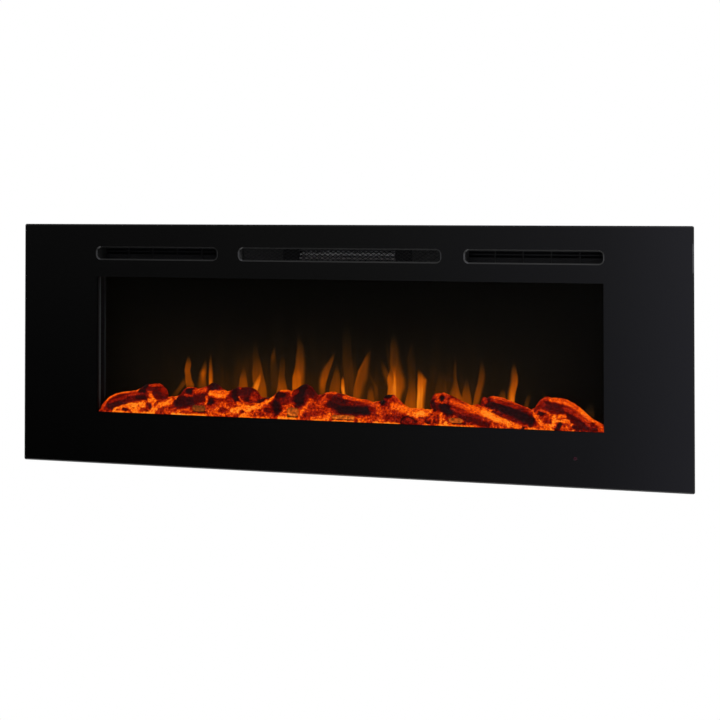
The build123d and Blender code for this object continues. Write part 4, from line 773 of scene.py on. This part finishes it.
# ---- flame picture ------------------------------------------------------------------------
FLAMES = (              # soft side (-1 left, 1 right, 0 none), then height, left and right edge in mm, light
    (-1, ((-118, -412, -398, .30), (-100, -396, -384, .42), (-88, -388, -374, .46), (-77, -383, -375, .22))),
    (0, ((-92, -376, -357, .62), (-80, -378, -363, .66), (-60, -380, -366, .70), (-45, -378, -364, .60),
         (-32, -374, -366, .34), (-24, -371, -369, .05))),
    (-1, ((-96, -348, -326, .44), (-76, -343, -327, .60), (-64, -341, -326, .68), (-48, -335, -325, .44),
         (-30, -330, -327, .06))),
    (0, ((-76, -338, -332, .40), (-66, -338, -331, .50), (-54, -335, -330, .30))),
    (1, ((-86, -320, -311, .92), (-66, -320, -311, .74), (-40, -319, -313, .48), (-12, -317, -314, .06))),
    (0, ((-98, -248, -226, .58), (-76, -246, -229, .54), (-60, -241, -231, .30), (-42, -238, -235, .05))),
    (0, ((-118, -196, -179, .56), (-100, -206, -181, .56), (-80, -215, -185, .56), (-60, -216, -190, .50),
         (-40, -214, -194, .40), (-20, -214, -200, .28), (0, -213, -203, .18), (22, -210, -208, .03))),
    (-1, ((-102, -218, -204, .90), (-88, -212, -199, .96), (-78, -206, -196, .88), (-68, -201, -195, .60),
         (-60, -197, -195, .10))),
    (1, ((-60, -219, -213, .16), (-20, -222, -214, .18), (2, -222, -219, .03))),
    (1, ((-90, -170, -150, .22), (-40, -172, -158, .30), (-22, -171, -160, .42), (-8, -166, -160, .28),
         (4, -162, -160, .04))),
    (0, ((-100, -157, -131, .60), (-84, -154, -135, .56), (-64, -152, -138, .36), (-34, -149, -137, .24),
         (-8, -145, -142, .03))),
    (1, ((-92, -120, -96, .82), (-66, -119, -95, .80), (-46, -114, -92, .60), (-20, -111, -91, .44),
         (2, -109, -94, .34), (20, -109, -100, .20), (38, -107, -105, .03))),
    (-1, ((-98, -55, -43, .42), (-84, -56, -42, .60), (-72, -56, -40, .66), (-56, -52, -35, .60),
         (-40, -43, -29, .52), (-24, -32, -23, .42), (-6, -21, -19, .06))),
    (0, ((-100, -34, -9, .50), (-76, -30, -8, .46), (-56, -24, -10, .40), (-34, -17, -14, .05))),
    (0, ((-104, -3, 4, .94), (-86, -6, 2, 1.0), (-70, -6, 0, .84), (-60, -4, -2, .10))),
    (0, ((-100, 4, 24, .22), (-60, 0, 22, .30), (-20, -3, 19, .26), (20, -4, 17, .20), (52, 0, 12, .10),
         (80, 5, 8, .01))),
    (1, ((-112, 20, 36, .54), (-86, 24, 44, .54), (-66, 28, 52, .54), (-50, 32, 55, .54), (-35, 40, 57, .52),
         (-20, 48, 60, .44), (-6, 57, 63, .26), (4, 62, 64, .03))),
    (0, ((-68, 28, 32, .30), (-50, 33, 38, .34), (-32, 43, 48, .30), (-16, 53, 58, .16))),
    (0, ((-114, 53, 71, .46), (-94, 56, 68, .36), (-78, 60, 65, .06))),
    (0, ((-100, 72, 80, .16), (-84, 70, 77, .26), (-60, 58, 63, .22), (-50, 56, 59, .03))),
    (-1, ((-66, 96, 108, .46), (-54, 90, 104, .44), (-40, 86, 97, .34), (-18, 81, 85, .08))),
    (0, ((-50, 104, 112, .26), (-20, 99, 106, .26), (4, 96, 102, .20), (26, 95, 97, .03))),
    (0, ((-104, 99, 119, .80), (-82, 101, 120, .84), (-62, 100, 119, .74), (-50, 104, 120, .50),
         (-36, 108, 122, .20))),
    (0, ((-98, 110, 116, .50), (-80, 112, 119, .80), (-62, 115, 120, .70), (-50, 112, 117, .10))),
    (1, ((-116, 112, 127, .70), (-98, 115, 131, .70), (-80, 118, 138, .68), (-64, 117, 138, .66),
         (-50, 112, 134, .58), (-34, 107, 130, .48), (-14, 106, 127, .40), (6, 106, 124, .32),
         (24, 108, 121, .20), (42, 114, 117, .03))),
    (0, ((-124, 138, 165, .62), (-100, 143, 164, .54), (-80, 147, 163, .40), (-60, 147, 163, .26),
         (-20, 146, 163, .20), (6, 152, 160, .12), (20, 157, 160, .02))),
    (1, ((-40, 144, 149, .10), (-20, 143, 149, .18), (0, 149, 154, .18), (18, 156, 159, .06))),
    (1, ((-126, 166, 181, .96), (-100, 167, 182, .98), (-80, 167, 184, .94), (-64, 168, 186, .84),
         (-54, 168, 180, .66), (-40, 168, 171, .10))),
    (0, ((-100, 182, 186, .30), (-64, 183, 187, .50), (-56, 181, 184, .10))),
    (1, ((-126, 166, 170, .60), (-80, 167, 170, .40), (-50, 168, 170, .20))),
    (0, ((-96, 205, 235, .28), (-66, 211, 231, .22), (-40, 218, 230, .06))),
    (-1, ((-102, 241, 268, .62), (-90, 243, 263, .60), (-76, 246, 259, .50), (-60, 248, 255, .40),
         (-30, 249, 255, .32), (-2, 252, 254, .04))),
    (0, ((-114, 266, 288, .56), (-92, 268, 286, .50), (-76, 271, 283, .38), (-54, 274, 278, .05))),
    (1, ((-114, 290, 302, .62), (-92, 295, 309, .58), (-70, 300, 314, .52), (-50, 304, 318, .46),
         (-34, 306, 316, .36), (-18, 308, 313, .18), (-8, 310, 312, .02))),
    (0, ((-98, 346, 362, .52), (-84, 350, 361, .32), (-74, 355, 358, .04))),
    (-1, ((-106, 366, 381, .90), (-86, 369, 384, .86), (-64, 373, 388, .76), (-50, 375, 389, .64),
         (-34, 376, 386, .44), (-14, 379, 381, .04))),
    (0, ((-112, 401, 411, .40), (-94, 408, 418, .30), (-78, 416, 420, .03))),
    (0, ((-96, 448, 453, .40), (-84, 442, 446, .26), (-68, 434, 437, .03))),
    (0, ((-124, 530, 552, .34), (-108, 538, 550, .20), (-92, 543, 547, .02))),
    (0, ((-60, 334, 346, .08), (-30, 334, 344, .12), (-6, 338, 340, .01))),
    (0, ((-60, -418, -405, .06), (-40, -418, -406, .10), (-14, -414, -411, .01))),
)
PICTURE_CELL = (2.0 * MM, 3.4 * MM)
PICTURE_TOP = 90 * MM   # the tongues end under this height
EDGE = 2.6              # mm over which a crisp edge of a tongue fades
CONTRAST = 1.6          # how much faster than its number a tongue's light falls
THINNING = ((-95, -75, -20, 5), (1, 0.90, 0.86, 1))     # heights, and the light that is left there
GLOW = 0.20             # light low behind the logs
STREAKS = 0.12          # upright streaks in it
HAZE = 0.034            # faint light over most of the screen


def tongue(x, z, soft, stations):
    """Light of one tongue at many places, in mm."""
    heights, lefts, rights, lights = zip(*stations)
    left, right = np.interp(z, heights, lefts), np.interp(z, heights, rights)
    width = right - left
    fades = [np.where(soft == side, 0.7 * width, EDGE) for side in (-1, 1)]
    share = np.clip((x - left) / fades[0] + 0.5, 0, 1) * np.clip((right - x) / fades[1] + 0.5, 0, 1)
    share = share * share * (3 - 2 * share)
    light = np.interp(z, heights, lights, right=0.0) ** CONTRAST * np.interp(z, *THINNING)
    return share * light * np.clip((z - heights[0]) / 16 + 1, 0, 1)


def flame_light(x, z):
    """Light of the whole picture at many places, in mm."""
    def wisps(wide, tall, layer):
        return np.array([noise.fractal(Vector((a / wide, layer, b / tall)), 0.8, 2, 3) for a, b in zip(x, z)])

    sway = np.array([noise.noise(Vector((a / 50, 0, b / 26))) for a, b in zip(x, z)])
    wisp, streak = wisps(6, 70, 4), wisps(20, 110, 9)
    dark = np.ones(len(x))
    for soft, stations in FLAMES:
        dark *= 1 - np.minimum(0.97, tongue(x + 1.4 * sway, z, soft, stations) * (0.94 + 0.16 * wisp))
    rise = np.clip((z + 128) / 150, 0, None)
    middle = np.exp(-((x + 20) / 400) ** 4)
    dark *= 1 - GLOW * np.exp(-2.6 * rise * rise) * middle
    dark *= 1 - STREAKS * np.clip(streak + 0.1, 0, 1) * np.exp(-1.4 * rise * rise) * middle
    dark *= 1 - HAZE * np.exp(-((z + 30) / 100) ** 2) * np.exp(-((x + 20) / 545) ** 10)
    return 1 - dark


def flame_picture(material):
    """The smoked screen as a fine sheet that carries the flames' light."""
    low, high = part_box("flame_screen")
    across = np.linspace(low.x, high.x, round((high.x - low.x) / PICTURE_CELL[0]) + 1)
    rows = round((PICTURE_TOP - low.z) / PICTURE_CELL[1])
    up = np.concatenate([np.linspace(low.z, PICTURE_TOP, rows + 1), np.linspace(PICTURE_TOP, high.z, 7)[1:]])
    grid_x, grid_z = (axis.ravel() for axis in np.meshgrid(across, up))
    points = np.stack([grid_x, np.full(len(grid_x), low.y), grid_z], axis=1)
    wide = len(across)
    corners = [(row * wide + i, row * wide + i + 1, (row + 1) * wide + i + 1, (row + 1) * wide + i)
               for row in range(len(up) - 1) for i in range(wide - 1)]
    mesh = bpy.data.meshes.new("flame_picture")
    mesh.from_pydata(points.tolist(), [], corners)
    write_points(mesh, points, "light", flame_light(grid_x / MM, grid_z / MM))
    piece = placed(mesh, "flame_picture", high.y - low.y)
    return finished(piece, material, replaces=["flame_screen"])


# ---- small pieces -------------------------------------------------------------------------
LENS_R = 0.98 * LAMP_R
LENS_RISE = 0.3 * MM
LENS_RINGS = 4
LENS_SIDES = 20


def lamp_lens(material):
    """The power lamp's low dome, facing the room."""
    build = bmesh.new()
    angles = [2 * pi * i / LENS_SIDES for i in range(LENS_SIDES)]
    rows = []
    for ring in range(LENS_RINGS):
        turn = pi / 2 * ring / LENS_RINGS
        reach, height = LENS_R * cos(turn), LENS_RISE * sin(turn)
        steps = [Vector((cos(a) * reach, height, sin(a) * reach)) for a in angles]
        rows.append([build.verts.new(LAMP - step) for step in steps])
    for lower, upper in zip(rows, rows[1:]):
        for i in range(LENS_SIDES):
            after = (i + 1) % LENS_SIDES
            build.faces.new((lower[i], lower[after], upper[after], upper[i]))
    build.faces.new(rows[-1])
    bmesh.ops.recalc_face_normals(build, faces=build.faces)
    mesh = mesh_of(build, "lamp_lens")
    mesh.polygons.foreach_set("use_smooth", [True] * len(mesh.polygons))
    return finished(placed(mesh, "lamp_lens"), material)


FIN_PITCH = 11.0 * MM   # one fold of the heater's rolled fin
FIN_LIFT = 2.2 * MM     # how far the fold rises
FIN_BAND = 4.8 * MM     # height of the fin's front edge
FIN_STEPS = 10          # points along one fold


def fin_ribbon(material):
    """The rolled fin that folds over and over between the heater's two upper tubes."""
    low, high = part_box("ptc_core")
    folds = int((high.x - low.x) / FIN_PITCH)
    build = bmesh.new()
    rows = []
    for i in range(folds * FIN_STEPS + 1):
        turn = pi * i / FIN_STEPS
        x = (i / FIN_STEPS - folds / 2) * FIN_PITCH
        y = low.y + (0.3 + 0.5 * cos(turn) ** 2) * MM
        foot = SLOT_Z - FIN_BAND / 2 + FIN_LIFT * (abs(sin(turn)) - 0.6)
        rows.append([build.verts.new((x, y, foot + share * FIN_BAND)) for share in (0, 0.5, 1)])
    for left, right in zip(rows, rows[1:]):
        for k in range(2):
            build.faces.new((left[k], right[k], right[k + 1], left[k + 1]))
    piece = placed(mesh_of(build, "ptc_fold"), "ptc_fold", 0.4 * MM)
    return finished(piece, material)


# ---- light, floor and camera --------------------------------------------------------------
FLOOR_Z = -1.0          # metres: the fireplace hangs well above it
FLOOR_REACH = 2.5
AMBIENT = 0.45
SOFTBOX = [             # light of the studio from left to straight ahead, as gloss sees it
    (0.06, grey(0.000)), (0.22, grey(0.024)), (0.46, grey(0.080)), (0.59, grey(0.125, (1, 1, 1.12))),
    (0.73, grey(0.180, (1, 1, 1.15))), (0.84, grey(0.330, (1, 1, 1.22))), (1.00, grey(0.600, (1, 1, 1.20))),
]


def world():
    """White behind, a dim studio before it for gloss, and an even soft ambient."""
    made = bpy.data.worlds.new("studio")
    bpy.context.scene.world = made
    made.use_nodes = True
    made.node_tree.nodes.clear()
    sky = Nodes(made.node_tree)
    parts = sky.axes(sky.add("TexCoord").outputs["Generated"])

    def highest(*levels):
        level = levels[0]
        for other in levels[1:]:
            level = sky.math("MAXIMUM", level, other)
        return level

    def light(colour, strength):
        return sky.add("Background", {"Color": colour, "Strength": strength}).outputs[0]

    ahead = sky.ramp(sky.spread(parts["X"], 0.0, 1.0, -0.5, 0.0), SOFTBOX)
    around = highest(
        sky.spread(parts["Z"], 0.0, 0.05, -0.16, -0.02), sky.spread(parts["Z"], 0.0, 0.2, 0.35, 0.8),
        sky.spread(parts["X"], 0.0, 2.0, 0.25, 0.85), sky.spread(parts["Y"], 0.0, 1.0, 0.0, 0.15))
    studio = sky.add("AddShader", {0: light(ahead, 1.0), 1: light(WHITE, around)}).outputs[0]
    path = sky.add("LightPath").outputs
    shown = highest(path["Is Glossy Ray"], path["Is Transmission Ray"])
    mixed = sky.add("MixShader", {"Fac": shown, 1: light(WHITE, AMBIENT), 2: studio}).outputs[0]
    final = sky.add("MixShader", {"Fac": path["Is Camera Ray"], 1: mixed, 2: light(WHITE, 1.0)}).outputs[0]
    sky.add("OutputWorld", {"Surface": final})


def floor():
    """A plain pale floor well under the hanging fireplace, plain white behind it."""
    bpy.ops.mesh.primitive_plane_add(size=2 * FLOOR_REACH, location=(0, 0, FLOOR_Z))
    piece = bpy.context.object
    piece.name = "floor"
    finish = Finish("pale_floor", Roughness=0.9, Specular_IOR_Level=0.0)
    finish.colour(finish.noise(2.0), grey(0.78), grey(0.80))
    path = finish.add("LightPath").outputs
    seen = path["Is Camera Ray"]
    for kind in ("Is Glossy Ray", "Is Transmission Ray"):
        seen = finish.math("MAXIMUM", seen, path[kind])
    white = finish.add("Emission", {"Color": WHITE, "Strength": 1.0}).outputs[0]
    shown = finish.add("MixShader", {"Fac": seen, 1: finish.surface.outputs[0], 2: white}).outputs[0]
    finish.tree.links.new(shown, finish.tree.nodes["Material Output"].inputs["Surface"])
    piece.data.materials.append(finish.material)


def area_lamp(name, place, size, watts):
    """A soft lamp aimed at the fireplace's middle."""
    lamp = bpy.data.lights.new(name, "AREA")
    lamp.shape = "RECTANGLE"
    lamp.size, lamp.size_y = size
    lamp.energy = watts
    holder = bpy.data.objects.new(name, lamp)
    holder.location = place
    holder.rotation_euler = (-Vector(place)).to_track_quat("-Z", "Y").to_euler()
    bpy.context.scene.collection.objects.link(holder)


def camera():
    """Nearly level, to the right of the middle, looking a little to the left."""
    data = bpy.data.cameras.new("camera")
    data.lens = 76.82
    data.sensor_width = 36
    data.shift_y = -0.2509
    holder = bpy.data.objects.new("camera", data)
    holder.location = (1.0082, -3.2186, 0.3107)
    holder.rotation_euler = (radians(91.052), 0, radians(16.657))
    bpy.context.scene.collection.objects.link(holder)
    bpy.context.scene.camera = holder


def paint_nodes(glowing):
    """Gives each CAD node the finish of its slot, or its own paint where it has one."""
    finishes = {make.__name__: make() for make in (
        clear_glass, black_enamel, black_steel, plain_steel, black_plastic, cream_plastic, fin_aluminium,
        motor_steel, brass, green_board)}
    finishes.update(glowing)
    own = {         # by a word in the node's name
        # outlet_duct, duct_right and grille_right get paler copies of the same black paint and plastic:
        # painted light on the parts that catch more of it
        "cheek": liner_paint(), "outlet_duct": duct_paint("lit_outlet_paint", 0.095), "ptc_core": heater_fins(),
        "duct_right": duct_paint("lit_duct_paint", 0.045), "duct_left": duct_paint(),
        "grille_right": black_plastic("lit_plastic", 0.016),
    }
    for name, part in nodes.items():
        paints = [paint for word, paint in own.items() if word in name]
        part.data.materials.clear()
        part.data.materials.append(paints[0] if paints else finishes[slot_of[name]])


def main():
    camera()
    world()
    floor()
    area_lamp("key", (1.6, -2.2, 2.4), (1.6, 1.0), 30)
    area_lamp("fill", (-2.4, -1.8, 1.6), (1.6, 1.2), 12)
    bpy.context.scene.view_settings.view_transform = "Standard"

    ember = ember_glow("ember_resin", 2.6 * MM, 0.40)
    charred = ember_glow("charred_resin", 3.0 * MM, 0.30)
    flame = flame_glow()
    paint_nodes({"ember_resin": ember, "charred_resin": charred, "smoked_screen": flame})

    noise.seed_set(SWAY_SEED)   # unseeded, noise_vector follows the clock
    for name in sorted(nodes):
        if name.startswith("log_"):
            carve_log(name, charred)
    carve_bed(ember)
    lit_panes(amber_glow())
    flame_picture(flame)
    fin_ribbon(glint_fold())
    lamp_lens(red_lens())


main()
